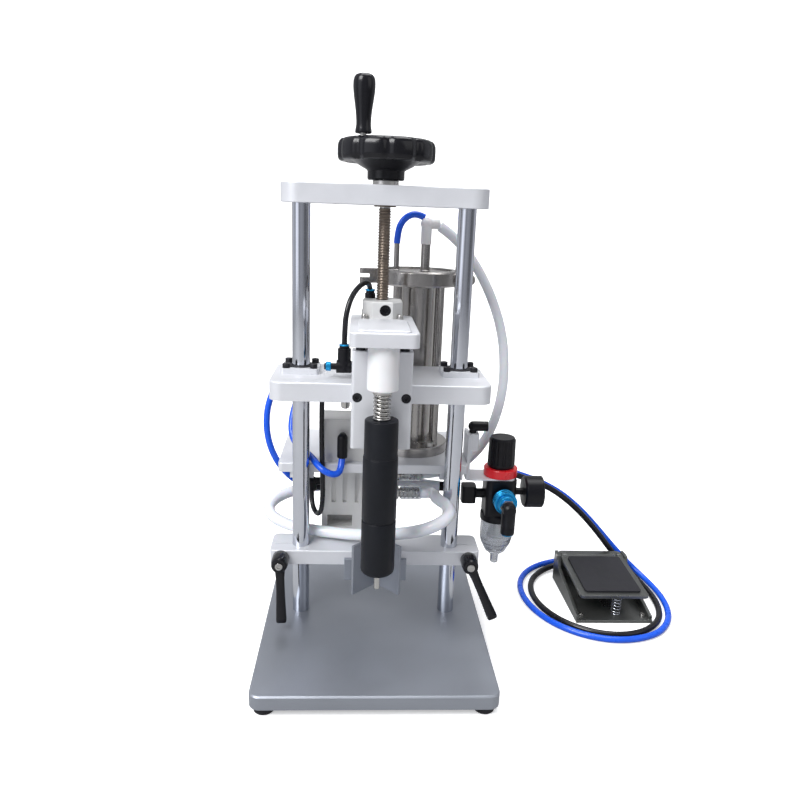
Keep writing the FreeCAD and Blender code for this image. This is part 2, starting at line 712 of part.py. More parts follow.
def clamp_lever(label, side, lean):
    """Clamping lever: hub, nickel screw head, threaded stud and a leaning arm."""
    hub = cone((side, "-table_front - 0.3", "103.5"), "10", "8.6", "20", "-Y")
    cap = cylinder((side, "-table_front - 20.3", "103.5"), "8.6", "3", "-Y")
    screw = cylinder((side, "-table_front - 23.3", "103.5"), "4.4", "1.6", "-Y")
    stud = cylinder((side, "-table_front - 0.3", "103.5"), "4", "34", "Y")
    arm = doc.addObject("Part::Cone", "arm")
    bind(arm, "Radius1", "6.6")
    bind(arm, "Radius2", "5")
    bind(arm, "Height", "70")
    tip_way = FreeCAD.Vector(math.sin(math.radians(lean)), -0.26, -math.cos(math.radians(lean)))
    arm.Placement = FreeCAD.Placement(
        FreeCAD.Vector(number(side), number("-table_front - 13"), 103.5),
        FreeCAD.Rotation(FreeCAD.Vector(0, 0, 1), tip_way))
    return node(fuse(hub, cap, screw, stud, arm), label)


# ---------------------------------------------------------------- rear deck and dosing unit
def rear_deck():
    """Deck behind the columns, with a half-round seat against each."""
    body = plate(("-118", "deck_front", "deck_base"), ("228", "142", "deck_thick"), "5")
    dress(body, "Chamfer", "0.8", level_at("deck_base + deck_thick"))
    drill(body, [(across, "0") for across in sides()], "deck_base + deck_thick", "column_radius", "deck_thick")
    lugs = [box((f"{across} - 14", "10.5", "deck_base - 8"), ("28", "14", "8")) for across in sides()]
    return node(fuse(body, *lugs), "rear_deck")


def control_valve():
    """Air valve on the deck with its riser and distribution bar."""
    block = soften(box(("-68", "18", "212"), ("60", "42", "52")), "1.6", upright)
    riser = box(("-30", "56", "212"), ("16", "20", "96"))
    bar = soften(box(("-105", "61", "294"), ("91", "15", "14")), "2", upright)
    return node(fuse(block, riser, bar), "control_valve")


def elbow(spot_stub, stub_axis, stub_long, spot_barrel, barrel_axis, barrel_long):
    """Push-in elbow: threaded stub, round body and barrel with its release collar."""
    stub = cylinder(spot_stub, "4.6", stub_long, stub_axis)
    barrel = cylinder(spot_barrel, "6.2", barrel_long, barrel_axis)
    return fuse(stub, sphere(spot_barrel, "6.2"), barrel)


def push_in_elbows():
    made = [
        elbow(("-42", "18", "244"), "-Y", "10", ("-42", "8", "244"), "-Z", "22"),
        elbow(("-67", "40", "178"), "-X", "13", ("-80", "40", "178"), "-Z", "10"),
        elbow(("118", "40", "245"), "Z", "8", ("118", "40", "253"), "X", "18"),
        elbow(("96", "74", "201"), "-Z", "41", ("96", "74", "160"), "-X", "12"),
        cylinder(("-67", "75", "158"), "6", "10", "-X"),
    ]
    for across in ("144", "160"):
        made.append(cylinder((across, "59", "176"), "6", "10", "Y"))
    return node(group(*made), "push_in_elbows")


def dosing_cylinder():
    """Grooved air cylinder under the deck with its windowed end block."""
    profile = soften(box(("-67", "32", "151"), ("60", "60", "50")), "2", upright)
    tail = soften(box(("-67", "32", "104"), ("60", "60", "47")), "1", upright)
    tools = []
    for across in ("-55", "-41", "-26"):
        tools.append(box((across, "31", "153"), ("5", "4.5", "46")))
        tools.append(box((across, "88.5", "153"), ("5", "4.5", "46")))
    for along in ("44", "58", "73"):
        tools.append(box(("-68", along, "184"), ("4.5", "5", "15")))
    tools.append(box(("-60", "31", "121"), ("31", "22", "15")))
    return node(cut(fuse(profile, tail), *tools), "dosing_cylinder")


def dosing_valve():
    """Product valve with two ribbed hose barbs."""
    block = soften(box(("-7", "34", "146"), ("31", "34", "55")), "2", upright)
    parts = [block]
    for height in ("187", "162"):
        parts.append(cylinder(("23", "45", height), "4.6", "34", "X"))
        parts.append(cylinder(("24", "45", height), "8", "5", "X"))
        for step in range(5):
            parts.append(cone((f"{30 + 5.2 * step}", "45", height), "7.2", "5.2", "5", "X"))
    return node(fuse(*parts), "dosing_valve")


def vessel_body():
    """Stainless tube with a bottom flange and a top ferrule, open at the top."""
    return node(turned([
        ("0", "212"), ("44", "212"), ("44", "223"), ("43", "224"), ("vessel_radius", "224"),
        ("vessel_radius", "423"), ("40", "423"), ("40", "429"), ("vessel_radius - 1.5", "429"),
        ("vessel_radius - 1.5", "218"), ("0", "218")], ("vessel_x", "vessel_y", "0")), "vessel_body")


def vessel_tie_rods():
    made = [cylinder((f"vessel_x {across} 25.5", f"vessel_y {along} 25.5", "224"), "4", "199")
            for across in "+-" for along in "+-"]
    return node(group(*made), "vessel_tie_rods")


def vessel_lid():
    """Lid with two welded pipe stubs."""
    disc = turned([("0", "429"), ("40", "429"), ("40", "436"), ("39", "437"), ("0", "437")],
                  ("vessel_x", "vessel_y", "0"))
    thin = cylinder(("18", "vessel_y", "436"), "3.3", "33")
    wide = cylinder(("53", "vessel_y", "436"), "5.6", "33")
    return node(fuse(disc, thin, wide), "vessel_lid")


def clamp_ring():
    """Hinged sanitary clamp round the lid, with its hinge lug, bolt lug and wing nut."""
    ring = turned([("40", "421"), ("48", "421"), ("50", "423"), ("50", "437"), ("48", "439"), ("40", "439")],
                  ("vessel_x", "vessel_y", "0"))
    hinge = soften(box(("-26", "71", "421.5"), ("24", "14", "17")), "4", upright)
    gap = box(("-27", "70", "427.5"), ("13", "16", "5"))
    lug = soften(box(("94", "70", "423"), ("18", "16", "14")), "3", upright)
    bolt = cylinder(("105", "52", "430"), "3", "44", "Y")
    nut = cylinder(("105", "52", "430"), "6.5", "9", "Y")
    return node(fuse(cut(hinge, gap), ring, lug, bolt, nut), "clamp_ring")


def hose_riser():
    """White elbow that turns the wide lid pipe into the filling hose."""
    riser = cylinder(("53", "vessel_y", "469"), "6.4", "24")
    knuckle = sphere(("53", "vessel_y", "493"), "7.4")
    snout = cylinder(("53", "vessel_y + 0.5", "493"), "6", "16", "X")
    return node(fuse(riser, knuckle, snout), "hose_riser")


# ---------------------------------------------------------------- air unit
def regulator_bracket():
    plate_part = box(("110", "22", "190"), ("4", "36", "55"))
    tongue = soften(box(("110", "22", "188"), ("62", "36", "2")), "6", upright)
    block = soften(box(("110", "30", "224"), ("15", "20", "21")), "1.5", upright)
    hole = cylinder(("unit_x", "unit_y", "180"), "15", "20")
    return node(cut(fuse(plate_part, tongue, block), hole), "regulator_bracket")


def regulator_body():
    """Body with its neck, and the port nipple towards the deck."""
    block = soften(box(("unit_x - 19", "unit_y - 19", "140"), ("38", "38", "48")), "7", upright)
    neck = cylinder(("unit_x", "unit_y", "187"), "15", "15.6")
    tee = soften(box(("108", "unit_y - 9", "154"), ("18", "18", "22")), "4", upright)
    nipple = cylinder(("124", "unit_y", "165"), "6", "14", "X")
    return node(fuse(block, neck, tee, nipple), "regulator_body")


def regulator_ring():
    return node(turned([("15", "190"), ("20.4", "190"), ("21", "191"), ("21", "200"), ("20.4", "201"),
                        ("15", "201")], ("unit_x", "unit_y", "0")), "regulator_ring")


def regulator_knob():
    """Ribbed knob that turns on the neck."""
    blank = turned([("0", "203"), ("16.6", "203"), ("17", "204"), ("16.4", "237"), ("14.5", "240"), ("0", "240")],
                   ("unit_x", "unit_y", "0"))
    ribs = []
    for step in range(12):
        turn = math.radians(30 * step)
        ribs.append(cylinder((f"unit_x + {17.9 * math.cos(turn):.3f}", f"unit_y + {17.9 * math.sin(turn):.3f}",
                              "206"), "2.2", "40"))
    return node(cut(blank, *ribs), "regulator_knob")


def filter_bowl():
    """Bowl that tapers to its drain."""
    return node(turned([
        ("0", "70"), ("4", "70"), ("5", "71"), ("5", "80"), ("8", "84"), ("13", "88"), ("19", "100"),
        ("20.5", "106"), ("20.5", "139.9"), ("18.5", "139.9"), ("18.5", "107"), ("17", "101"), ("12", "91"),
        ("0", "90")], ("unit_x", "unit_y", "0")), "filter_bowl")


def pressure_gauge():
    dial = turned([("0", "0"), ("4.5", "0"), ("4.5", "11"), ("18", "12"), ("20", "14"), ("20", "34"),
                   ("18.5", "35.5"), ("18", "34"), ("0", "34")], ("unit_x + 19", "unit_y", "168"), "X")
    return node(dial, "pressure_gauge")


def slide_valve():
    """Venting slide valve in front of the regulator and its push-in elbow with an open socket."""
    spool = turned([("0", "0"), ("7", "0"), ("7", "4"), ("11", "4"), ("11", "25"), ("7", "25"), ("7", "32"),
                    ("0", "32")], ("158", "21", "166"), "-Y")
    knuckle = sphere(("158", "-15", "166"), "8.6")
    neck = cylinder(("158", "-8", "166"), "6.6", "8", "-Y")
    barrel = cylinder(("158", "-15", "166"), "8.4", "31", "-Z")
    socket = cylinder(("158", "-15", "134"), "4.1", "16")
    return node(cut(fuse(spool, neck, knuckle, barrel), socket), "slide_valve")


def slide_ring():
    """Knurled ring that slides along the valve to shut the air off."""
    blank = turned([("11 + slip", "0"), ("13.4", "0"), ("14.2", "0.8"), ("14.2", "13.2"), ("13.4", "14"),
                    ("11 + slip", "14")], ("158", "16", "166"), "-Y")
    return node(blank, "slide_ring")


# ---------------------------------------------------------------- foot pedal
def pedal_base():
    """Tray with wedge-shaped sides, a rear wall, the air valve and the hinge ears with their pin."""
    wide = "pedal_right - pedal_left"
    floor = box(("pedal_left", "pedal_front", "0"), (wide, "pedal_back - pedal_front", "4"))
    parts = [floor]
    for inner in ("0", "96"):
        body = new_body()
        sketch = new_sketch(body, "YZ_Plane", f"pedal_left + {inner}")
        outline(sketch, [("pedal_front + 2", "3"), ("pedal_front + 2", "9"), ("pivot_y - 12", "27"),
                         ("pivot_y - 8", "pivot_z + 5"), ("pedal_back", "pivot_z + 5"), ("pedal_back", "3")])
        pad(body, sketch, "4")
        parts.append(body)
    parts.append(box(("pedal_left", "pedal_back - 3", "3"), (wide, "3", "25")))
    valve = soften(box(("290", "84", "3"), ("44", "42", "22")), "2", upright)
    pin = cylinder(("pedal_left + 2", "pivot_y", "pivot_z"), "3", f"{wide} - 4", "X")
    seat = cylinder(("320", "26", "3.5"), "4.6", "3.5")
    return node(fuse(*parts, valve, pin, seat), "pedal_base")


def tilted(item, pitch=REST_PITCH):
    """Turn an object about the pedal's pivot so that its front end sits low."""
    pivot = FreeCAD.Vector(0, number("pivot_y"), number("pivot_z"))
    turn = FreeCAD.Placement(FreeCAD.Vector(), FreeCAD.Rotation(FreeCAD.Vector(1, 0, 0), pitch), pivot)
    for axis in "xyz":
        item.setExpression(f"Placement.Base.{axis}", None)
    item.Placement = turn.multiply(item.Placement)
    return item


def treadle():
    """Foot plate with two hinge ears under its rear."""
    board = tilted(soften(box(("pedal_left + 5", "14", "pivot_z - 1"), ("90", "116", "4")), "5", upright))
    ears = [cylinder((across, "pivot_y", "pivot_z"), "6", "6", "X") for across in ("pedal_left + 7", "pedal_right - 13")]
    bore = cylinder(("pedal_left - 2", "pivot_y", "pivot_z"), "3 + slip", "104", "X")
    return node(cut(fuse(board, *ears), bore), "treadle")


def treadle_pad():
    pad_box = box(("pedal_left + 13", "22", "pivot_z + 3"), ("74", "88", "2.5"))
    return node(tilted(soften(pad_box, "4", upright)), "treadle_pad")


def pedal_spring():
    """Envelope of the return coil between the tray and the treadle."""
    return node(cut(cylinder(("320", "26", "4"), "6.4", "27.5"), cylinder(("320", "26", "3"), "4.7", "36")),
                "pedal_spring")


def build():
    base_plate()
    rubber_feet()
    columns()
    top_plate()
    screw_bushing()
    frame_screws()
    lead_screw()
    handwheel()
    wheel_handle()
    carriage_plate()
    flange_bearings()
    carriage_screws()
    head_upright()
    head_arm()
    arm_cover()
    air_block()
    nut_block()
    guide_nose()
    head_fittings()
    press_spindle()
    collet_holder()
    crimp_sleeve()
    head_spring()
    centre_pin()
    lower_table()
    bottle_locator()
    clamp_lever("clamp_lever_left", "-lever_x", 3)
    clamp_lever("clamp_lever_right", "lever_x", 25)
    rear_deck()
    control_valve()
    push_in_elbows()
    dosing_cylinder()
    dosing_valve()
    vessel_body()
    vessel_tie_rods()
    vessel_lid()
    clamp_ring()
    hose_riser()
    regulator_bracket()
    regulator_body()
    regulator_ring()
    regulator_knob()
    filter_bowl()
    pressure_gauge()
    slide_valve()
    slide_ring()
    pedal_base()
    treadle()
    treadle_pad()
    pedal_spring()
    for label, (diameter, points) in ROUTES.items():
        cord(label, points, diameter)


def write_parts():
    """Check every object and every sub-part, then write one file for each node."""
    doc.recompute()
    faults = [item.Name for item in doc.Objects if {"Invalid", "Error"} & set(item.State)]
    for item in NODES:
        if item.Shape.isNull() or not item.Shape.isValid() or item.Shape.Volume <= 0:
            faults.append(item.Label)
    if faults:
        sys.exit("faulty: " + ", ".join(faults))
    os.makedirs("parts", exist_ok=True)
    for item in NODES:
        item.Shape.exportStep(f"parts/{item.Label}.step")
        print(f"{item.Label}: {len(item.Shape.Solids)} solid(s), {item.Shape.Volume / 1000:.1f} cm3")
    print(len(NODES), "nodes")


build()
write_parts()
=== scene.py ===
"""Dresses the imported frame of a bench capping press: finishes, tubes, springs, screws and the studio."""

import json
import logging
import math
from collections.abc import Callable, Sequence
from dataclasses import dataclass, field
from enum import Enum

import bmesh
import bpy
from mathutils import Matrix, Vector


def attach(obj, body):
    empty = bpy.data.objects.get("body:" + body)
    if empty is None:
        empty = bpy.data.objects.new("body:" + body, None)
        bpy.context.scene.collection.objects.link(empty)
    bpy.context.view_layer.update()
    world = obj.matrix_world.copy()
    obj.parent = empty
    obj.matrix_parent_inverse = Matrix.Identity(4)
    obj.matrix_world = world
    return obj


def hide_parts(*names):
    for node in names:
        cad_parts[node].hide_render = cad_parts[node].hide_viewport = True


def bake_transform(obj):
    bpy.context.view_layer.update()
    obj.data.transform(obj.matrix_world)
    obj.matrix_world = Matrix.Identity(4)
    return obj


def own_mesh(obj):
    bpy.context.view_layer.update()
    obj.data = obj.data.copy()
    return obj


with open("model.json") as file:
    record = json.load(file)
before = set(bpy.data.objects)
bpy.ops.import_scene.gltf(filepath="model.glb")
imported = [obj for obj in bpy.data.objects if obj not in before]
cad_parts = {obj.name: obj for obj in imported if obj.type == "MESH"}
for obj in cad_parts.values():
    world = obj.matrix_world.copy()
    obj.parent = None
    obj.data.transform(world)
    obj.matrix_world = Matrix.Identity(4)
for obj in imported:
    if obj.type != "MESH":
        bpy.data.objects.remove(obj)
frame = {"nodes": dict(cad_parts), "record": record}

log = logging.getLogger("capping_press")

Point = tuple[float, float, float]
Profile = Sequence[tuple[float, float]]
MM = 0.001


# ---------------------------------------------------------------- node helpers
class Board:
    """A node tree that is filled by short calls."""

    def __init__(self, tree: bpy.types.NodeTree) -> None:
        """Keep the tree.

        Args:
            tree: The node tree to fill.
        """
        self.tree = tree

    def feed(self, socket: bpy.types.NodeSocket, source: object) -> None:
        """Link a socket to an output, or give it a plain value.

        Args:
            socket: The input to set.
            source: Another node's output, or a value.
        """
        if isinstance(source, bpy.types.NodeSocket):
            self.tree.links.new(source, socket)
        else:
            socket.default_value = source

    def add(self, kind: str, settings: dict[str, object] | None = None,
            inputs: dict[str | int, object] | None = None) -> bpy.types.Node:
        """Add a node.

        Args:
            kind: The node's type name.
            settings: Properties of the node.
            inputs: Inputs by name or number, each an output or a value.

        Returns:
            The new node.
        """
        node = self.tree.nodes.new(kind)
        for name, value in (settings or {}).items():
            setattr(node, name, value)
        for name, source in (inputs or {}).items():
            self.feed(node.inputs[name], source)
        return node

    def math(self, operation: str, first: object, second: object = 0.0) -> bpy.types.NodeSocket:
        """Return the output of a maths node.

        Args:
            operation: The operation's name.
            first: The first input.
            second: The second input.
        """
        node = self.add("ShaderNodeMath", {"operation": operation}, {0: first, 1: second})
        return node.outputs[0]

    def spread(self, value: object, low: float, high: float, start: float = 0.0,
               end: float = 1.0) -> bpy.types.NodeSocket:
        """Return a value mapped from start..end to low..high.

        Args:
            value: The value to map.
            low: Result at the start.
            high: Result at the end.
            start: Value that gives low.
            end: Value that gives high.
        """
        inputs = {"Value": value, "From Min": start, "From Max": end, "To Min": low, "To Max": high}
        return self.add("ShaderNodeMapRange", {"clamp": True}, inputs).outputs["Result"]


class Grain(Enum):
    """How a surface was worked, as the stretch of its finest pattern along X, Y and Z."""

    BLASTED = (1.0, 1.0, 1.0)
    DRAWN = (1.0, 1.0, 0.02)
    TURNED = (0.02, 0.02, 1.0)
    MILLED = (0.05, 1.0, 1.0)


# ---------------------------------------------------------------- finishes
@dataclass(frozen=True)
class Finish:
    """A surface with mottling, fine grain and softened, worn edges."""

    name: str
    colour: Point
    roughness: float
    metallic: float = 0.0
    grain: Grain = Grain.BLASTED
    grain_scale: float = 2600.0
    grain_bump: float = 0.10
    mottle: float = 0.06
    mottle_scale: float = 30.0
    edge_radius: float = 0.0
    edge_wear: float = 0.0
    coat: float = 0.0
    transmission: float = 0.0
    subsurface: float = 0.0
    ior: float = 1.5
    specular: float = 0.5

    def pattern(self, board: Board, scale: float, detail: float, stretch: Point) -> bpy.types.NodeSocket:
        """Return a noise that sits on the piece itself.

        Args:
            board: The material's nodes.
            scale: Grains per metre.
            detail: Octaves of noise.
            stretch: Stretch along X, Y and Z.
        """
        spot = board.add("ShaderNodeTexCoord").outputs["Object"]
        mapped = board.add("ShaderNodeMapping", None, {"Vector": spot, "Scale": stretch})
        noise = board.add("ShaderNodeTexNoise", None,
                          {"Vector": mapped.outputs[0], "Scale": scale, "Detail": detail, "Roughness": 0.6})
        return noise.outputs[0]

    def edges(self, board: Board) -> tuple[bpy.types.NodeSocket, bpy.types.NodeSocket]:
        """Return a softened normal and a mask of the edges.

        Args:
            board: The material's nodes.
        """
        soft = board.add("ShaderNodeBevel", {"samples": 4}, {"Radius": self.edge_radius}).outputs[0]
        flat = board.add("ShaderNodeNewGeometry").outputs["Normal"]
        turn = board.add("ShaderNodeVectorMath", {"operation": "DOT_PRODUCT"}, {0: soft, 1: flat})
        return soft, board.spread(turn.outputs["Value"], 1.0, 0.0, 0.80, 0.995)

    def build(self) -> bpy.types.Material:
        """Return the material of this finish."""
        material = bpy.data.materials.new(self.name)
        material.use_nodes = True
        board = Board(material.node_tree)
        shader = material.node_tree.nodes["Principled BSDF"]
        shader.inputs["Metallic"].default_value = self.metallic
        shader.inputs["IOR"].default_value = self.ior
        shader.inputs["Specular IOR Level"].default_value = self.specular
        shader.inputs["Coat Weight"].default_value = self.coat
        shader.inputs["Coat Roughness"].default_value = 0.08
        shader.inputs["Transmission Weight"].default_value = self.transmission
        shader.inputs["Subsurface Weight"].default_value = self.subsurface
        shader.inputs["Subsurface Scale"].default_value = 0.004
        cloud = self.pattern(board, self.mottle_scale, 4.0, (1.0, 1.0, 1.0))
        fine = self.pattern(board, self.grain_scale, 2.0, self.grain.value)
        shade = board.spread(cloud, 1.0 - self.mottle, 1.0 + self.mottle, 0.3, 0.7)
        fleck = board.spread(fine, 1.0 - self.mottle * 0.7, 1.0 + self.mottle * 0.7, 0.3, 0.7)
        level = board.math("MULTIPLY", shade, fleck)
        polish = board.spread(cloud, self.roughness * 0.86, min(1.0, self.roughness * 1.16), 0.3, 0.7)
        bump = board.add("ShaderNodeBump", None,
                         {"Height": fine, "Strength": self.grain_bump, "Distance": 0.0003})
        if self.edge_radius:
            soft, worn = self.edges(board)
            board.feed(bump.inputs["Normal"], soft)
            level = board.math("ADD", level, board.math("MULTIPLY", worn, self.edge_wear))
        tinted = board.add("ShaderNodeVectorMath", {"operation": "SCALE"}, {0: self.colour, "Scale": level})
        board.feed(shader.inputs["Base Color"], tinted.outputs[0])
        board.feed(shader.inputs["Roughness"], polish)
        board.feed(shader.inputs["Normal"], bump.outputs[0])
        return material


FINISHES = (
    Finish("anodised", (0.68, 0.69, 0.72), 0.40, 0.35, grain_bump=0.07, edge_radius=0.0008, edge_wear=0.18,
           mottle=0.03),
    Finish("blasted_base", (0.33, 0.35, 0.39), 0.44, 0.80, grain_bump=0.12, edge_radius=0.0010,
           edge_wear=0.30,
           mottle=0.05, mottle_scale=9.0, specular=0.35),
    Finish("pale_block", (0.66, 0.66, 0.65), 0.42, 0.35, grain_bump=0.08, edge_radius=0.0006, edge_wear=0.12,
           mottle=0.04),
    Finish("column_chrome", (0.60, 0.62, 0.67), 0.12, 1.0, Grain.TURNED, 5200.0, 0.02, mottle=0.03),
    Finish("stainless", (0.37, 0.355, 0.34), 0.24, 1.0, Grain.DRAWN, 4200.0, 0.05, edge_radius=0.0006,
           edge_wear=0.25, mottle=0.07),
    Finish("steel", (0.50, 0.49, 0.47), 0.27, 1.0, Grain.TURNED, 4200.0, 0.06, edge_radius=0.0003,
           edge_wear=0.15,
           mottle=0.06),
    Finish("black_steel", (0.030, 0.030, 0.034), 0.36, 0.6, grain_bump=0.08, edge_radius=0.0003,
           edge_wear=0.10,
           specular=0.3),
    Finish("greased_screw", (0.20, 0.165, 0.135), 0.34, 0.9, Grain.TURNED, 1800.0, 0.06, mottle=0.25,
           mottle_scale=120.0),
    Finish("bakelite", (0.006, 0.006, 0.008), 0.22, grain_bump=0.03, mottle=0.10, coat=0.12, specular=0.25),
    Finish("sleeve_black", (0.006, 0.007, 0.010), 0.42, 0.0, Grain.TURNED, 2600.0, 0.10, edge_radius=0.0005,
           edge_wear=0.30, mottle=0.12, specular=0.22),
    Finish("white_plastic", (0.78, 0.78, 0.79), 0.38, grain_bump=0.04, subsurface=0.10, mottle=0.02,
           specular=0.35),
    Finish("fitting_black", (0.004, 0.004, 0.006), 0.34, grain_bump=0.14, grain_scale=1700.0, mottle=0.12,
           edge_radius=0.0004, edge_wear=0.60, specular=0.25),
    Finish("lock_red", (0.68, 0.010, 0.018), 0.30, grain_bump=0.05, mottle=0.05, coat=0.15),
    Finish("valve_blue", (0.012, 0.27, 0.56), 0.26, 0.7, Grain.TURNED, 3200.0, 0.05, edge_radius=0.0004,
           edge_wear=0.30),
    Finish("clear_bowl", (0.80, 0.82, 0.85), 0.07, grain_bump=0.0, mottle=0.02, transmission=0.90),
    Finish("clear_hose", (0.85, 0.88, 0.94), 0.24, grain_bump=0.0, grain_scale=500.0, mottle=0.02,
           transmission=0.16, subsurface=0.25, coat=0.30, ior=1.40),
    Finish("hose_over_barb", (0.93, 0.95, 0.97), 0.05, grain_bump=0.0, mottle=0.01, transmission=0.96,
           ior=1.10),
    Finish("tube_blue", (0.008, 0.090, 0.66), 0.26, grain_bump=0.02, mottle=0.06, coat=0.15, specular=0.35),
    Finish("tube_black", (0.007, 0.007, 0.009), 0.28, grain_bump=0.03, mottle=0.10, coat=0.12, specular=0.3),
    Finish("pedal_metal", (0.15, 0.155, 0.15), 0.30, 0.8, Grain.MILLED, 2600.0, 0.07, edge_radius=0.0008,
           edge_wear=1.20, mottle=0.10, mottle_scale=24.0),
    Finish("rubber", (0.016, 0.016, 0.020), 0.62, grain_bump=0.25, grain_scale=1500.0, mottle=0.18,
           specular=0.3),
)


class Wardrobe:
    """All finishes, each made once and kept by its name."""

    def __init__(self, finishes: Sequence[Finish]) -> None:
        """Make every material.

        Args:
            finishes: The finishes of the machine.
        """
        self.materials = {finish.name: finish.build() for finish in finishes}

    def paint(self, piece: bpy.types.Object, finish: str) -> None:
        """Give a piece one finish.

        Args:
            piece: The piece to paint.
            finish: The finish's name.
        """
        piece.data.materials.clear()
        piece.data.materials.append(self.materials[finish])

    def dress_frame(self) -> None:
        """Give each part of the frame the finish that its record names."""
        for row in frame["record"]["subparts"]:
            self.paint(frame["nodes"][row["node"]], row["material_slot"])
        log.info("dressed %d parts of the frame", len(frame["nodes"]))

    def hang(self, piece: bpy.types.Object, body: str, finish: str, *stands_for: str) -> bpy.types.Object:
        """Paint a new piece, put it on its body and hide the parts of the frame that it stands for.

        Args:
            piece: The new piece.
            body: The body that it moves with.
            finish: The finish's name.
            stands_for: Parts of the frame that it replaces.

        Returns:
            The same piece.
        """
        self.paint(piece, finish)
        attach(piece, body)
        if stands_for:
            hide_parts(*stands_for)
        log.info("%s rides on %s in %s", piece.name, body, finish)
        return piece


# ---------------------------------------------------------------- mesh helpers
def piece_of(name: str, mesh: bpy.types.Mesh, crease: float = 32.0) -> bpy.types.Object:
    """Return an object at the origin for a mesh, smooth but for its creases.

    Args:
        name: The piece's name.
        mesh: Its mesh.
        crease: Angle in degrees past which an edge stays sharp.
    """
    mesh.polygons.foreach_set("use_smooth", [True] * len(mesh.polygons))
    mesh.set_sharp_from_angle(angle=math.radians(crease))
    piece = bpy.data.objects.new(name, mesh)
    bpy.context.scene.collection.objects.link(piece)
    return piece


def aimed(spot: Point, way: Point = (0, 0, 1)) -> Matrix:
    """Return the placement that puts the origin at a spot and +Z along a direction.

    Args:
        spot: Place in millimetres.
        way: Direction of the piece's own Z.
    """
    turn = Vector((0, 0, 1)).rotation_difference(Vector(way)).to_matrix().to_4x4()
    return Matrix.Translation(Vector(spot) * MM) @ turn


def lathe(name: str, profile: Profile, spot: Point = (0, 0, 0), way: Point = (0, 0, 1), around: int = 64,
          closed: bool = False, lobes: Callable[[float, float], float] | None = None) -> bpy.types.Object:
    """Return a turned piece.

    Args:
        name: The piece's name.
        profile: Radius and height pairs, in millimetres.
        spot: Where height zero of the axis is, in millimetres.
        way: Direction of the axis.
        around: Points round each ring.
        closed: Whether the last pair joins the first.
        lobes: Radius as a function of the plain radius and the angle, for scallops.

    Returns:
        The piece, placed by its mesh.
    """
    shape = bmesh.new()
    rings: list[list[bmesh.types.BMVert]] = []
    for radius, height in profile:
        if radius < 1e-6:
            rings.append([shape.verts.new((0, 0, height * MM))])
            continue
        ring = []
        for step in range(around):
            angle = 2 * math.pi * step / around
            reach = (lobes(radius, angle) if lobes else radius) * MM
            ring.append(shape.verts.new((reach * math.cos(angle), reach * math.sin(angle), height * MM)))
        rings.append(ring)
    pairs = list(zip(rings, rings[1:]))
    if closed:
        pairs.append((rings[-1], rings[0]))
    for low, high in pairs:
        for step in range(around):
            after = (step + 1) % around
            corners = [low[step % len(low)], low[after % len(low)], high[after % len(high)],
                       high[step % len(high)]]
            corners = list(dict.fromkeys(corners))
            if len(corners) > 2:
                shape.faces.new(corners)
    bmesh.ops.recalc_face_normals(shape, faces=shape.faces)
    mesh = bpy.data.meshes.new(name)
    shape.to_mesh(mesh)
    shape.free()
    mesh.transform(aimed(spot, way))
    return piece_of(name, mesh)


def loft(name: str, sections: Sequence[tuple[Vector, Vector, Vector]], around: int = 32,
         power: float = 2.6) -> bpy.types.Object:
    """Return a closed skin over rounded sections.

    Args:
        name: The piece's name.
        sections: Centre and the two half-axes of each section, in metres.
        around: Points round each section.
        power: 2 for an ellipse, more for a squarer section.

    Returns:
        The piece.
    """
    shape = bmesh.new()
    rings = []
    for centre, wide, thick in sections:
        ring = []
        for step in range(around):
            angle = 2 * math.pi * step / around
            across = math.copysign(abs(math.cos(angle)) ** (2 / power), math.cos(angle))
            along = math.copysign(abs(math.sin(angle)) ** (2 / power), math.sin(angle))
            ring.append(shape.verts.new(centre + wide * across + thick * along))
        rings.append(ring)
    for low, high in zip(rings, rings[1:]):
        for step in range(around):
            after = (step + 1) % around
            shape.faces.new((low[step], low[after], high[after], high[step]))
    shape.faces.new(rings[0])
    shape.faces.new(rings[-1])
    bmesh.ops.recalc_face_normals(shape, faces=shape.faces)
    mesh = bpy.data.meshes.new(name)
    shape.to_mesh(mesh)
    shape.free()
    return piece_of(name, mesh)


def block(name: str, low: Point, high: Point, soften: float = 0.6, crease: float = 60.0) -> bpy.types.Object:
    """Return a block with rounded edges.

    Args:
        name: The piece's name.
        low: Lowest corner, in millimetres.
        high: Highest corner, in millimetres.
        soften: Radius of its edges, in millimetres.
        crease: Angle in degrees past which an edge stays sharp.

    Returns:
        The piece.
    """
    shape = bmesh.new()
    bmesh.ops.create_cube(shape, size=1.0)
    size = (Vector(high) - Vector(low)) * MM
    middle = (Vector(high) + Vector(low)) * MM / 2
    shape.transform(Matrix.Translation(middle) @ Matrix.Diagonal((*size, 1.0)))
    bmesh.ops.bevel(shape, geom=shape.edges, offset=soften * MM, segments=3, profile=0.5, affect="EDGES")
    mesh = bpy.data.meshes.new(name)
    shape.to_mesh(mesh)
    shape.free()
    return piece_of(name, mesh, crease)


def merged(name: str, pieces: Sequence[bpy.types.Object]) -> bpy.types.Object:
    """Return one piece made of several, which are used up.

    Args:
        name: The new piece's name.
        pieces: Pieces at the origin.
    """
    shape = bmesh.new()
    for piece in pieces:
        shape.from_mesh(piece.data)
        bpy.data.objects.remove(piece)
    mesh = bpy.data.meshes.new(name)
    shape.to_mesh(mesh)
    shape.free()
    return piece_of(name, mesh)


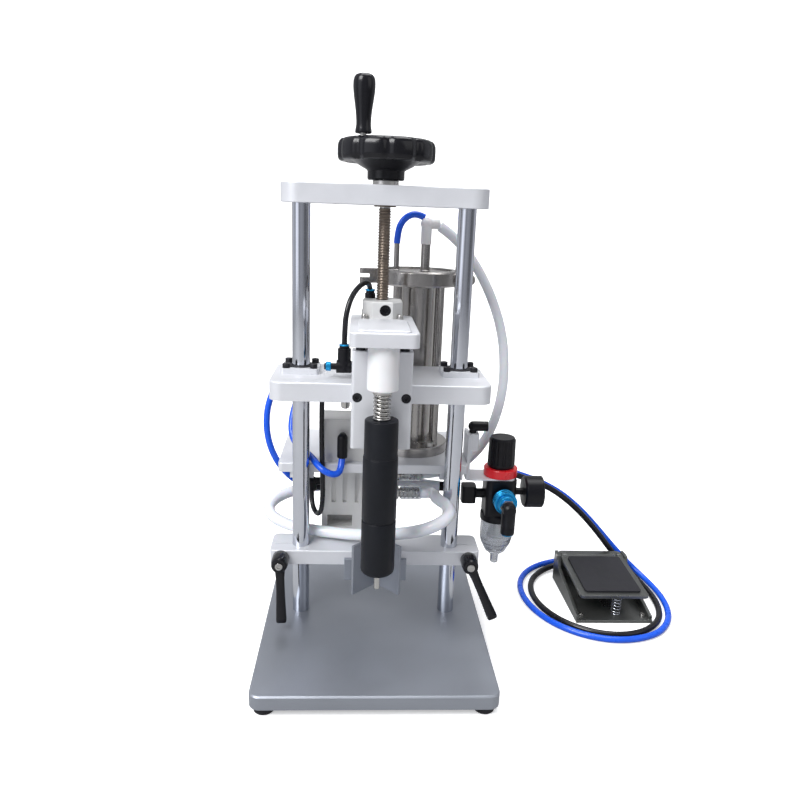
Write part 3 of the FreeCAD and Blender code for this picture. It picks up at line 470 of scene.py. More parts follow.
# ---------------------------------------------------------------- repeating shapes
class Recipe(Board):
    """A geometry node tree with named inputs, grown into a plain mesh."""

    def __init__(self, name: str) -> None:
        """Start an empty tree.

        Args:
            name: The tree's name.
        """
        super().__init__(bpy.data.node_groups.new(name, "GeometryNodeTree"))
        self.tree.interface.new_socket("Geometry", in_out="OUTPUT", socket_type="NodeSocketGeometry")
        self.tree.interface.new_socket("Geometry", in_out="INPUT", socket_type="NodeSocketGeometry")
        self.given = self.tree.nodes.new("NodeGroupInput")
        self.result = self.tree.nodes.new("NodeGroupOutput")
        self.ask("Material", "Material")

    def ask(self, label: str, kind: str = "Float") -> bpy.types.NodeSocket:
        """Add a named input and return its output inside the tree.

        Args:
            label: The input's name.
            kind: Float, Int, Object or Material.
        """
        self.tree.interface.new_socket(label, in_out="INPUT", socket_type=f"NodeSocket{kind}")
        return self.given.outputs[label]

    def close(self, shape: bpy.types.NodeSocket) -> None:
        """End the tree with plain geometry in one finish.

        Args:
            shape: The geometry to hand out.
        """
        real = self.add("GeometryNodeRealizeInstances", None, {0: shape})
        painted = self.add("GeometryNodeSetMaterial", None,
                           {"Geometry": real.outputs[0], "Material": self.given.outputs["Material"]})
        self.feed(self.result.inputs[0], painted.outputs[0])

    def grow(self, name: str, values: dict[str, object], start: bpy.types.Mesh | None = None,
             place: Matrix | None = None, crease: float = 32.0) -> bpy.types.Object:
        """Return the plain piece that the tree makes.

        Args:
            name: The piece's name.
            values: Values of the named inputs.
            start: Mesh that the tree starts from.
            place: Placement, put into the mesh.
            crease: Angle in degrees past which an edge stays sharp.
        """
        seed = bpy.data.objects.new("seed", start or bpy.data.meshes.new("seed"))
        bpy.context.scene.collection.objects.link(seed)
        growth = seed.modifiers.new("growth", "NODES")
        growth.node_group = self.tree
        sockets = {item.name: item.identifier for item in self.tree.interface.items_tree
                   if item.in_out == "INPUT"}
        for label, value in values.items():
            growth[sockets[label]] = value
        bpy.context.view_layer.update()
        grown = seed.evaluated_get(bpy.context.evaluated_depsgraph_get())
        mesh = bpy.data.meshes.new_from_object(grown)
        bpy.data.objects.remove(seed)
        if place is not None:
            mesh.transform(place)
        return piece_of(name, mesh, crease)


class ThreadRecipe(Recipe):
    """A rod whose surface rises and falls along a helix."""

    def __init__(self) -> None:
        """Build the tree."""
        super().__init__("thread")
        radius, depth, pitch = self.ask("Radius"), self.ask("Thread Depth"), self.ask("Pitch")
        height, rings = self.ask("Height"), self.ask("Rings", "Int")
        rod = self.add("GeometryNodeMeshCylinder", None,
                       {"Vertices": 40, "Side Segments": rings, "Radius": radius, "Depth": height})
        spot = self.add("GeometryNodeInputPosition").outputs[0]
        axes = self.add("ShaderNodeSeparateXYZ", None, {0: spot}).outputs
        turn = self.math("DIVIDE", self.math("ARCTAN2", axes[1], axes[0]), 2 * math.pi)
        phase = self.math("FRACT", self.math("SUBTRACT", self.math("DIVIDE", axes[2], pitch), turn))
        flank = self.math("ABSOLUTE", self.math("SUBTRACT", phase, 0.5))
        rise = self.spread(flank, 0.0, 1.0, 0.14, 0.36)
        shrink = self.math("SUBTRACT", 1.0, self.math("DIVIDE", self.math("MULTIPLY", depth, rise), radius))
        flat = self.add("ShaderNodeCombineXYZ", None, {0: self.math("MULTIPLY", axes[0], shrink),
                                                       1: self.math("MULTIPLY", axes[1], shrink), 2: axes[2]})
        cut = self.add("GeometryNodeSetPosition", None,
                       {"Geometry": rod.outputs["Mesh"], "Position": flat.outputs[0]})
        self.close(cut.outputs[0])


class CoilRecipe(Recipe):
    """A compression spring with closed ends."""

    def __init__(self) -> None:
        """Build the tree."""
        super().__init__("coil")
        radius, wire = self.ask("Radius"), self.ask("Wire")
        turns, height = self.ask("Turns"), self.ask("Height")
        span = self.math("SUBTRACT", height, wire)
        line = self.add("GeometryNodeCurveSpiral", None,
                        {"Resolution": 40, "Rotations": turns, "Start Radius": radius, "End Radius": radius,
                         "Height": span})
        spot = self.add("GeometryNodeInputPosition").outputs[0]
        axes = self.add("ShaderNodeSeparateXYZ", None, {0: spot}).outputs
        dead = self.math("DIVIDE", 0.7, turns)
        share = self.math("DIVIDE", axes[2], span)
        live = self.math("DIVIDE", self.math("SUBTRACT", share, dead),
                         self.math("SUBTRACT", 1.0, self.math("MULTIPLY", dead, 2.0)))
        held = self.math("MINIMUM", self.math("MAXIMUM", live, 0.0), 1.0)
        level = self.math("MULTIPLY", self.math("ADD", self.math("MULTIPLY", held, 0.9),
                                                self.math("MULTIPLY", share, 0.1)), span)
        raised = self.math("ADD", level, self.math("DIVIDE", wire, 2.0))
        flat = self.add("ShaderNodeCombineXYZ", None, {0: axes[0], 1: axes[1], 2: raised})
        moved = self.add("GeometryNodeSetPosition", None,
                         {"Geometry": line.outputs[0], "Position": flat.outputs[0]})
        section = self.add("GeometryNodeCurvePrimitiveCircle", None,
                           {"Resolution": 14, "Radius": self.math("DIVIDE", wire, 2.0)})
        skin = self.add("GeometryNodeCurveToMesh", None,
                        {"Curve": moved.outputs[0], "Profile Curve": section.outputs[0], "Fill Caps": True})
        self.close(skin.outputs[0])


class ScatterRecipe(Recipe):
    """One part at every point of a mesh, its Z along the point's aim."""

    def __init__(self) -> None:
        """Build the tree."""
        super().__init__("scatter")
        part = self.ask("Part", "Object")
        model = self.add("GeometryNodeObjectInfo", None, {"Object": part})
        aim = self.add("GeometryNodeInputNamedAttribute", {"data_type": "FLOAT_VECTOR"}, {"Name": "aim"})
        turn = self.add("FunctionNodeAlignRotationToVector", {"axis": "Z"}, {"Vector": aim.outputs[0]})
        placed = self.add("GeometryNodeInstanceOnPoints", None,
                          {"Points": self.given.outputs["Geometry"], "Instance": model.outputs["Geometry"],
                           "Rotation": turn.outputs[0]})
        self.close(placed.outputs[0])

    def place(self, name: str, part: bpy.types.Object, spots: Sequence[tuple[Point, Point]],
              material: bpy.types.Material) -> bpy.types.Object:
        """Return copies of a part, which is used up.

        Args:
            name: The piece's name.
            part: The part, with its seat at the origin and its head along +Z.
            spots: Place in millimetres and direction of each copy.
            material: Finish of the copies.
        """
        points = bpy.data.meshes.new("points")
        points.from_pydata([tuple(value * MM for value in spot) for spot, _ in spots], [], [])
        aims = points.attributes.new("aim", "FLOAT_VECTOR", "POINT")
        for row, (_, way) in zip(aims.data, spots):
            row.vector = way
        piece = self.grow(name, {"Part": part, "Material": material}, points)
        bpy.data.objects.remove(part)
        return piece


class RingRecipe(Recipe):
    """One part repeated round the Z axis."""

    def __init__(self) -> None:
        """Build the tree."""
        super().__init__("ring")
        part, count = self.ask("Part", "Object"), self.ask("Count", "Int")
        radius, start, sweep = self.ask("Radius"), self.ask("Start"), self.ask("Sweep")
        model = self.add("GeometryNodeObjectInfo", None, {"Object": part})
        order = self.add("GeometryNodeInputIndex").outputs[0]
        angle = self.math("ADD", start, self.math("MULTIPLY", sweep, order))
        spot = self.add("ShaderNodeCombineXYZ", None,
                        {0: self.math("MULTIPLY", radius, self.math("COSINE", angle)),
                          1: self.math("MULTIPLY", radius, self.math("SINE", angle))})
        turn = self.add("ShaderNodeCombineXYZ", None, {2: angle})
        points = self.add("GeometryNodePoints", None, {"Count": count, "Position": spot.outputs[0]})
        placed = self.add("GeometryNodeInstanceOnPoints", None,
                          {"Points": points.outputs[0], "Instance": model.outputs["Geometry"],
                           "Rotation": turn.outputs[0]})
        self.close(placed.outputs[0])


# ---------------------------------------------------------------- studio
@dataclass
class Studio:
    """Camera, pale floor with its sweep, and soft lights."""

    eye: Point = (-0.0238, -0.7949, 0.5000)
    yaw: float = 3.43
    pitch: float = 14.47
    roll: float = -2.1
    lens: float = 31.95
    floor_half: float = 3.0
    wall_y: float = 1.7
    paper_shade: float = 0.93
    paper_bounce: float = 0.42
    paper_glow: float = 0.42
    backdrop: float = 1.5
    room_strength: float = 0.66

    def camera(self) -> None:
        """Make the camera."""
        yaw, pitch, roll = (math.radians(value) for value in (self.yaw, self.pitch, self.roll))
        ahead = Vector((math.sin(yaw) * math.cos(pitch), math.cos(yaw) * math.cos(pitch), -math.sin(pitch)))
        right = Vector((math.cos(yaw), -math.sin(yaw), 0))
        down = ahead.cross(right)
        side = right * math.cos(roll) + down * math.sin(roll)
        below = down * math.cos(roll) - right * math.sin(roll)
        data = bpy.data.cameras.new("camera")
        data.lens = self.lens
        data.sensor_width = 36
        camera = bpy.data.objects.new("camera", data)
        turn = Matrix((side, -below, -ahead)).transposed().to_4x4()
        camera.matrix_world = Matrix.Translation(self.eye) @ turn
        bpy.context.scene.collection.objects.link(camera)
        bpy.context.scene.camera = camera

    def sweep(self) -> None:
        """Make the floor, which curves up into a wall behind the machine."""
        outline = [(-self.floor_half, 0.0), (self.wall_y - 0.8, 0.0)]
        for step in range(1, 17):
            angle = math.radians(90 * step / 16)
            outline.append((self.wall_y - 0.8 + 0.8 * math.sin(angle), 0.8 - 0.8 * math.cos(angle)))
        outline.append((self.wall_y, 3.0))
        verts, faces = [], []
        for along, height in outline:
            verts += [(-self.floor_half, along, height - 0.0002), (self.floor_half, along, height - 0.0002)]
        for step in range(len(outline) - 1):
            faces.append((2 * step, 2 * step + 1, 2 * step + 3, 2 * step + 2))
        mesh = bpy.data.meshes.new("floor")
        mesh.from_pydata(verts, [], faces)
        floor = piece_of("floor", mesh, 80)
        paper = bpy.data.materials.new("paper")
        paper.use_nodes = True
        shader = paper.node_tree.nodes["Principled BSDF"]
        board = Board(paper.node_tree)
        seen = board.add("ShaderNodeLightPath").outputs["Is Camera Ray"]
        board.feed(shader.inputs["Base Color"],
                   board.spread(seen, self.paper_bounce, self.paper_shade, 0.0, 1.0))
        board.feed(shader.inputs["Emission Strength"], board.math("MULTIPLY", seen, self.paper_glow))
        shader.inputs["Roughness"].default_value = 0.9
        shader.inputs["Specular IOR Level"].default_value = 0.1
        shader.inputs["Emission Color"].default_value = (1, 1, 1, 1)
        floor.data.materials.append(paper)

    def lamp(self, name: str, spot: Point, target: Point, size: float, power: float) -> None:
        """Make one soft light.

        Args:
            name: The light's name.
            spot: Its place.
            target: The point that it faces.
            size: Side of its square.
            power: Watts.
        """
        data = bpy.data.lights.new(name, "AREA")
        data.size = size
        data.energy = power
        lamp = bpy.data.objects.new(name, data)
        lamp.location = spot
        lamp.rotation_euler = (Vector(target) - Vector(spot)).to_track_quat("-Z", "Y").to_euler()
        bpy.context.scene.collection.objects.link(lamp)

    def surroundings(self) -> None:
        """Make the pale room, with darker upright bands that polished steel can mirror."""
        world = bpy.data.worlds.new("room")
        world.use_nodes = True
        bpy.context.scene.world = world
        board = Board(world.node_tree)
        way = board.add("ShaderNodeTexCoord").outputs["Generated"]
        axes = board.add("ShaderNodeSeparateXYZ", None, {0: way}).outputs
        angle = board.math("DIVIDE", board.math("ARCTAN2", axes[0], axes[1]), 2 * math.pi)
        share = board.math("FRACT", board.math("ADD", angle, 1.0))
        bands = board.add("ShaderNodeValToRGB", None, {0: share})
        stops = [(0.0, 1.0), (0.22, 0.90), (0.27, 0.32), (0.36, 0.20), (0.42, 0.48), (0.50, 0.60),
                 (0.56, 0.40), (0.60, 1.6), (0.65, 2.2), (0.71, 0.50), (0.77, 0.95), (1.0, 1.0)]
        ramp = bands.color_ramp.elements
        while len(ramp) < len(stops):
            ramp.new(0.5)
        for element, (place, level) in zip(ramp, stops):
            element.position = place
            element.color = (level * 0.96, level * 0.98, level * 1.06, 1)
        back = world.node_tree.nodes["Background"]
        seen = board.math("MULTIPLY", board.add("ShaderNodeLightPath").outputs["Is Camera Ray"],
                          self.backdrop)
        pale = board.add("ShaderNodeVectorMath", {"operation": "MAXIMUM"}, {0: bands.outputs[0], 1: seen})
        board.feed(back.inputs["Color"], pale.outputs[0])
        back.inputs["Strength"].default_value = self.room_strength

    def build(self) -> None:
        """Set up everything around the machine."""
        self.camera()
        self.sweep()
        self.surroundings()
        self.lamp("key", (-1.5, -1.6, 2.3), (0, 0, 0.3), 1.4, 88)
        self.lamp("fill", (1.9, -1.2, 1.5), (0.1, 0, 0.3), 1.6, 8)
        self.lamp("top", (0.2, 0.3, 2.4), (0.05, 0, 0.2), 1.6, 38)
        bpy.context.scene.view_settings.view_transform = "Standard"
        log.info("studio is set")


# ---------------------------------------------------------------- tubes and hoses
@dataclass
class Tube:
    """A length of tube or hose along its route, in millimetres."""

    name: str
    finish: str
    diameter: float
    length: float
    route: Sequence[Point]
    body: str = "frame"
    stiffness: str = "medium"

    def curve(self, bevel: float) -> bpy.types.Object:
        """Return the smooth line through the tube's route.

        Args:
            bevel: Radius of its skin in metres, or 0 for the bare line.
        """
        data = bpy.data.curves.new(self.name, "CURVE")
        data.dimensions = "3D"
        data.resolution_u = 14
        data.bevel_depth = bevel
        data.bevel_resolution = 6
        data.use_fill_caps = bevel > 0
        spline = data.splines.new("NURBS")
        spline.points.add(len(self.route) - 1)
        for point, (across, along, height) in zip(spline.points, self.route):
            point.co = (across * MM, along * MM, height * MM, 1)
        spline.order_u = 3
        spline.use_endpoint_u = True
        line = bpy.data.objects.new(f"{self.name}_line", data)
        bpy.context.scene.collection.objects.link(line)
        return line

    def plain(self, bevel: float) -> bpy.types.Mesh:
        """Return the mesh of the line or of its skin.

        Args:
            bevel: Radius of the skin in metres, or 0 for the bare line.
        """
        line = self.curve(bevel)
        bpy.context.view_layer.update()
        made = line.evaluated_get(bpy.context.evaluated_depsgraph_get())
        mesh = bpy.data.meshes.new_from_object(made)
        bpy.data.objects.remove(line)
        return mesh

    def build(self, wardrobe: Wardrobe) -> bpy.types.Object:
        """Make the tube as a curve.

        Args:
            wardrobe: The finishes.
        """
        piece = self.curve(self.diameter * MM / 2)
        wardrobe.hang(piece, self.body, self.finish, self.name)
        return piece

    def build_mesh(self, wardrobe: Wardrobe) -> bpy.types.Object:
        """Make the tube as a plain mesh instead of a curve.

        Args:
            wardrobe: The finishes.
        """
        line = self.plain(0.0)
        piece = piece_of(f"{self.name}_skin", self.plain(self.diameter * MM / 2), 60)
        wardrobe.paint(piece, self.finish)
        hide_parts(self.name)
        return piece


@dataclass
class Plumbing:
    """All nine tubes and hoses, with the points of their routes."""

    head: Tube = field(default_factory=lambda: Tube("head_tube", "tube_black", 6, 106.2, [
        (-40.5, -36, 363), (-40.5, -35.5, 378), (-39.5, -34, 396), (-35, -28, 413), (-27.5, -17, 424),
        (-19.5, -3, 429), (-14.5, 7, 426), (-13.5, 13, 418)], "carriage"))
    cylinder: Tube = field(default_factory=lambda: Tube("cylinder_tube", "tube_black", 6, 205.0, [
        (-66, 4.2, 306.2), (-66.6, 4, 270), (-66, 4.2, 232), (-65, 4, 200), (-64.5, 5, 174), (-66, 10, 152),
        (-71, 18, 142), (-77, 28, 146), (-80, 37, 156), (-80, 40, 168)]))
    left_outer: Tube = field(default_factory=lambda: Tube("tube_left_outer", "tube_blue", 8, 192.0, [
        (-105, 68, 301), (-118, 67, 300), (-130, 62, 287), (-137, 55, 262), (-136, 50, 232),
        (-127, 50, 204), (-112, 56, 180), (-96, 66, 164), (-82, 74, 159), (-77, 75, 158)]))
    left_inner: Tube = field(default_factory=lambda: Tube("tube_left_inner", "tube_blue", 8, 174.7, [
        (-97, 68, 294), (-99, 64, 280), (-104, 54, 264), (-106, 42, 247), (-102, 33, 233), (-92, 24, 224),
        (-79.5, 13.5, 220), (-68, -5.5, 212), (-58, -9, 206.5), (-48, -6.5, 203.5), (-42.8, 1.5, 208),
        (-42, 8, 222)]))
    lid: Tube = field(default_factory=lambda: Tube("lid_tube", "tube_blue", 8, 56.6, [
        (18, 78, 469), (18.5, 78, 482), (23, 78.5, 495), (33, 79, 503), (43, 79.5, 503.5), (50, 80, 500)]))
    fill: Tube = field(default_factory=lambda: Tube("fill_hose", "clear_hose", 12, 404.3, [
        (69.5, 80, 490), (87, 83, 479), (108, 87, 457), (130, 91, 425), (147, 92, 389), (157, 91, 356),
        (161, 88, 323), (161, 85, 292), (156, 82, 262), (147, 78, 236), (134, 74, 213), (115, 70, 195),
        (97, 61, 189), (77, 49, 187.5), (57, 45, 187)]))
    product: Tube = field(default_factory=lambda: Tube("product_hose", "clear_hose", 14, 621.1, [
        (57, 45, 162), (66, 43, 163.5), (71.5, 34, 166), (72, 20, 169.5), (71.5, 4, 172.5), (75, -12, 175),
        (82, -27, 175.5), (84, -42, 172.5), (76, -54, 168), (61, -58, 161.5), (45, -53, 154),
        (29, -41, 146), (12, -26, 137), (-7, -11, 129.5), (-30, 2, 124), (-55, 12, 121.8), (-81, 19, 121.8),
        (-106, 26, 124), (-127, 38, 128), (-137, 56, 133), (-131, 76, 138), (-112, 93, 142),
        (-86, 103, 145), (-56, 107, 148), (-25, 107, 152), (5, 103, 156), (31, 95, 159), (52, 83, 161),
        (68, 75.5, 160.5), (84, 74, 160)], stiffness="limp"))
    pedal_blue: Tube = field(default_factory=lambda: Tube("pedal_tube_blue", "tube_blue", 8, 912.9, [
        (144, 69, 176), (146, 88, 177), (156, 107, 174), (176, 120, 168), (203, 126, 159), (234, 130, 147),
        (266, 134, 129), (296, 139, 104), (323, 144, 76), (348, 147, 48), (371, 143, 24), (389, 128, 9),
        (398, 103, 4.3), (400, 72, 4.3), (396, 37, 4.3), (383, 4, 4.3), (358, -23, 4.3), (323, -36, 4.3),
        (288, -36, 4.3), (255, -22, 4.3), (229, 2, 4.3), (212, 34, 4.3), (205, 70, 4.3), (209, 106, 4.3),
        (225, 137, 4.3), (251, 158, 5), (280, 165, 8), (305, 159, 12), (318, 145, 14), (320, 128, 14)]))
    pedal_black: Tube = field(default_factory=lambda: Tube("pedal_tube_black", "tube_black", 8, 787.9, [
        (160, 69, 176), (162, 84, 177), (172, 98, 173), (191, 108, 165), (216, 115, 155), (246, 121, 141),
        (276, 126, 119), (303, 131, 93), (327, 136, 66), (347, 138, 41), (365, 134, 21), (379, 120, 9),
        (386, 97, 4.3), (388, 68, 4.3), (384, 37, 4.3), (372, 8, 4.3), (348, -15, 4.3), (318, -26, 4.3),
        (287, -24, 4.3), (259, -10, 4.3), (237, 13, 4.3), (223, 43, 4.3), (219, 76, 4.3), (226, 109, 4.3),
        (243, 134, 4.3), (264, 149, 6), (284, 151, 11), (298, 143, 14), (300, 128, 14)]))

    def build(self, wardrobe: Wardrobe) -> None:
        """Lay every tube.

        Args:
            wardrobe: The finishes.
        """
        for tube in (self.head, self.left_outer, self.left_inner, self.lid, self.fill, self.pedal_blue,
                     self.pedal_black):
            tube.build(wardrobe)
        bent = self.cylinder.build_mesh(wardrobe)
        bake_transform(bent)
        lifted = self.product.build_mesh(wardrobe)
        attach(lifted, "frame")
        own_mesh(lifted)
        log.info("laid nine tubes")


# ---------------------------------------------------------------- screw drive
@dataclass
class ScrewDrive:
    """Threaded lead screw, lobed handwheel and its revolving grip."""

    screw_radius: float = 7.0
    pitch: float = 3.0
    thread_low: float = 331.0
    thread_high: float = 508.0
    lobes: int = 10
    grip_x: float = -25.0
    grip_y: float = -31.0

    def scallop(self, radius: float, angle: float) -> float:
        """Return the rim's radius at an angle.

        Args:
            radius: The plain radius.
            angle: Angle round the wheel.
        """
        if radius < 43:
            return radius
        share = min(1.0, (radius - 43) / 6)
        dip = max(0.0, math.cos(self.lobes * (angle - math.radians(18)))) ** 2.2
        return radius - 2.6 * share * dip

    def build(self, wardrobe: Wardrobe) -> None:
        """Make the drive's pieces.

        Args:
            wardrobe: The finishes.
        """
        height = self.thread_high - self.thread_low
        thread = ThreadRecipe().grow("lead_screw_thread", {
            "Radius": self.screw_radius * MM, "Thread Depth": 1.1 * MM, "Pitch": self.pitch * MM,
            "Height": height * MM, "Rings": int(height / self.pitch * 8),
            "Material": wardrobe.materials["greased_screw"]},
            place=Matrix.Translation((0, 0, (self.thread_low + height / 2) * MM)), crease=80)
        wardrobe.hang(thread, "wheel", "greased_screw", "lead_screw")
        journal = lathe("lead_screw_ends", [
            (0, 508), (5.9, 508), (5.9, 532), (14, 532), (14, 536.2), (13.2, 537), (5.9, 537), (5.9, 558),
            (5, 559), (0, 559)], around=48)
        wardrobe.hang(journal, "wheel", "steel")
        foot = lathe("lead_screw_foot", [(0, 330), (5.6, 330), (5.9, 331), (5.9, 332), (0, 332)], around=40)
        wardrobe.hang(foot, "wheel", "greased_screw")
        wheel = lathe("handwheel_rim", [
            (6, 537), (18.6, 537), (20, 538.2), (20, 546), (21.4, 547.6), (28, 551), (36, 556), (40, 556.8),
            (43, 556), (46, 555), (48.6, 555.1), (50.6, 556.4), (51.7, 558.8), (52, 562), (52, 568),
            (51.7, 572),
            (50.4, 575.2), (48.4, 577.2), (45, 578), (40, 578), (35, 577.8), (31.6, 577), (29.8, 574.6),
            (28.6, 570), (26.6, 566.6), (23, 564.6), (20, 564), (15, 565.6), (14, 566), (6, 566)],
            around=240, closed=True, lobes=self.scallop)
        wardrobe.hang(wheel, "wheel", "bakelite", "handwheel")
        nut = lathe("wheel_nut", [(0, 559), (5, 559), (8.5, 559.4), (9.4, 560.6), (9.4, 567.4), (8.4, 568.6),
                                  (4.6, 569), (0, 569)], around=6)
        wardrobe.hang(nut, "wheel", "steel")
        pin = lathe("grip_pin", [(0, 574), (4.6, 574), (4.6, 578.6), (3, 579), (3, 602), (0, 602)],
                    (self.grip_x, self.grip_y, 0), around=32)
        wardrobe.hang(pin, "wheel", "steel")
        grip = lathe("grip_shell", [
            (3.2, 580.3), (7.6, 580.3), (8.4, 580.9), (8.6, 582), (8.1, 584.6), (7.6, 588), (7.6, 592),
            (7.9, 597),
            (8.5, 602.5), (9.3, 608), (10.2, 614), (10.9, 619.5), (11.2, 624), (11.2, 627.6), (10.9, 630.6),
            (10.1, 633), (8.6, 634.9), (6, 636), (3, 636.35), (0, 636.4), (0, 606), (5, 606), (5, 603),
            (3.2, 603)], (self.grip_x, self.grip_y, 0), around=72)
        wardrobe.hang(grip, "grip", "bakelite", "wheel_handle")


# ---------------------------------------------------------------- screws
def socket_screw(radius: float, tall: float, key: float) -> bpy.types.Object:
    """Return a cap screw's head with its hexagon socket, seat at the origin.

    Args:
        radius: Radius of the head, in millimetres.
        tall: Height of the head, in millimetres.
        key: Radius of the socket's corners, in millimetres.
    """
    around = 36

    def shape(reach: float, angle: float) -> float:
        """Return a hexagon for the socket and the plain radius for the side.

        Args:
            reach: The plain radius.
            angle: Angle round the screw.
        """
        if reach <= key + 0.01:
            return reach * math.cos(math.pi / 6) / math.cos((angle % (math.pi / 3)) - math.pi / 6)
        return reach

    return lathe("socket_screw", [
        (0, 0), (radius, 0), (radius, tall * 0.88), (radius * 0.9, tall), (key * 1.12, tall),
        (key, tall * 0.94), (key, tall * 0.42), (0, tall * 0.36)], around=around, lobes=shape)


def hex_bolt(radius: float, tall: float) -> bpy.types.Object:
    """Return a hexagon head, seat at the origin.

    Args:
        radius: Radius of its corners, in millimetres.
        tall: Height of the head, in millimetres.
    """
    return lathe("hex_bolt", [(0, 0), (radius * 0.96, 0), (radius, tall * 0.1), (radius, tall * 0.85),
                              (radius * 0.88, tall), (0, tall)], around=6)


# ---------------------------------------------------------------- carriage and head
@dataclass
class Carriage:
    """Cap screws, guide posts, seals and small fittings that travel with the carriage."""

    column_x: float = 90.0
    flange_hole: float = 15.2
    flange_top: float = 333.0

    def build(self, wardrobe: Wardrobe, scatter: ScatterRecipe) -> None:
        """Make the carriage's pieces.

        Args:
            wardrobe: The finishes.
            scatter: Recipe that repeats a part.
        """
        spots = [((side * self.column_x + across, along, self.flange_top), (0, 0, 1))
                 for side in (-1, 1) for across in (-self.flange_hole, self.flange_hole)
                 for along in (-self.flange_hole, self.flange_hole)]
        flange = scatter.place("bearing_screws", socket_screw(4.2, 5, 2.3), spots,
                               wardrobe.materials["black_steel"])
        wardrobe.hang(flange, "carriage", "black_steel", "carriage_screws")
        spots = [((across, along, 391), (0, 0, 1)) for across in (-19.5, 19.5) for along in (-22, 18)]
        nut = scatter.place("nut_block_screws", socket_screw(3.4, 5, 1.9), spots, wardrobe.materials["steel"])
        wardrobe.hang(nut, "carriage", "steel")
        spots = [((across, -75.6, 316.5), (0, -1, 0)) for across in (-25.5, 25.5)]
        front = scatter.place("upright_screws", socket_screw(5.0, 4.4, 2.6), spots,
                              wardrobe.materials["black_steel"])
        wardrobe.hang(front, "carriage", "black_steel")
        posts = merged("guide_posts", [
            lathe("post", [(0, 358), (5, 358), (5, 382), (0, 382)], (across, -71, 0), around=40)
            for across in (-23, 23)])
        wardrobe.hang(posts, "carriage", "black_steel")
        seals = merged("bearing_seals", [
            lathe("seal", [(10.3, 333), (15.6, 333), (15.2, 333.8), (11.2, 334.2), (10.3, 333.9)],
                  (side * self.column_x, 0, 0), around=64, closed=True) for side in (-1, 1)])
        wardrobe.hang(seals, "carriage", "rubber")
        ends = merged("bearing_ends", [
            lathe("end", [(10.3, 297.6), (13.2, 297.4), (13.8, 298.1), (10.3, 298.1)],
                  (side * self.column_x, 0, 0), around=64, closed=True) for side in (-1, 1)])
        wardrobe.hang(ends, "carriage", "fitting_black")
        plug = lathe("silencer", [(0, 292.5), (3.4, 292.5), (4.6, 293.6), (4.9, 296), (4.9, 301), (3.6, 302),
                                  (3.6, 306.5), (0, 306.5)], (-38.5, -33, 0), around=40)
        wardrobe.hang(plug, "carriage", "steel")
        port = lathe("nut_port_plug", [(0, 0), (6.1, 0), (6.1, 4.5), (5.4, 5), (3.4, 5), (3.0, 1.6),
                                       (0, 1.2)],
                     (3, -17.2, 400.5), (0, -1, 0), around=40)
        wardrobe.hang(port, "carriage", "fitting_black")
        knob = lathe("flow_knob", [(0, 0), (3.7, 0), (5.1, 0.4), (5.1, 5.2), (4.3, 5.8), (0, 5.8)],
                     (-54.6, -36, 340), (-1, 0, 0), around=40)
        wardrobe.hang(knob, "carriage", "valve_blue")


@dataclass
class PressHead:
    """Coil spring and crimping sleeve of the pressing head."""

    head_y: float = -99.0
    spring_low: float = 299.5
    spring_high: float = 326.5
    coil_radius: float = 8.0
    wire: float = 2.3

    def build(self, wardrobe: Wardrobe, coil: CoilRecipe) -> None:
        """Make the head's pieces.

        Args:
            wardrobe: The finishes.
            coil: Recipe for a spring.
        """
        spring = coil.grow("head_coil", {
            "Radius": self.coil_radius * MM, "Wire": self.wire * MM, "Turns": 7.0,
            "Height": (self.spring_high - self.spring_low) * MM, "Material": wardrobe.materials["steel"]},
            place=Matrix.Translation((0, self.head_y * MM, self.spring_low * MM)), crease=80)
        wardrobe.hang(spring, "press", "steel", "head_spring")
        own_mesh(spring)
        sleeve = lathe("sleeve_shell", [
            (13, 128.5), (14.8, 128.5), (15.6, 128.8), (17.4, 130.5), (18.1, 132.2), (18.3, 134),
            (18.3, 188.3),
            (18.1, 188.8), (17.4, 189.1), (17.3, 190.3), (18.1, 190.7), (18.3, 191.2), (18.3, 258.4),
            (18.15, 258.9),
            (17.8, 259), (17.8, 259.6), (18, 259.8), (18, 260.1), (17.5, 260.4), (17.5, 297.6), (17.2, 298.7),
            (16.4, 299.3), (15.6, 299.5), (6.1, 299.5), (6.1, 262), (13, 262)],
            (0, self.head_y, 0), around=96, closed=True)
        wardrobe.hang(sleeve, "sleeve", "sleeve_black", "crimp_sleeve")


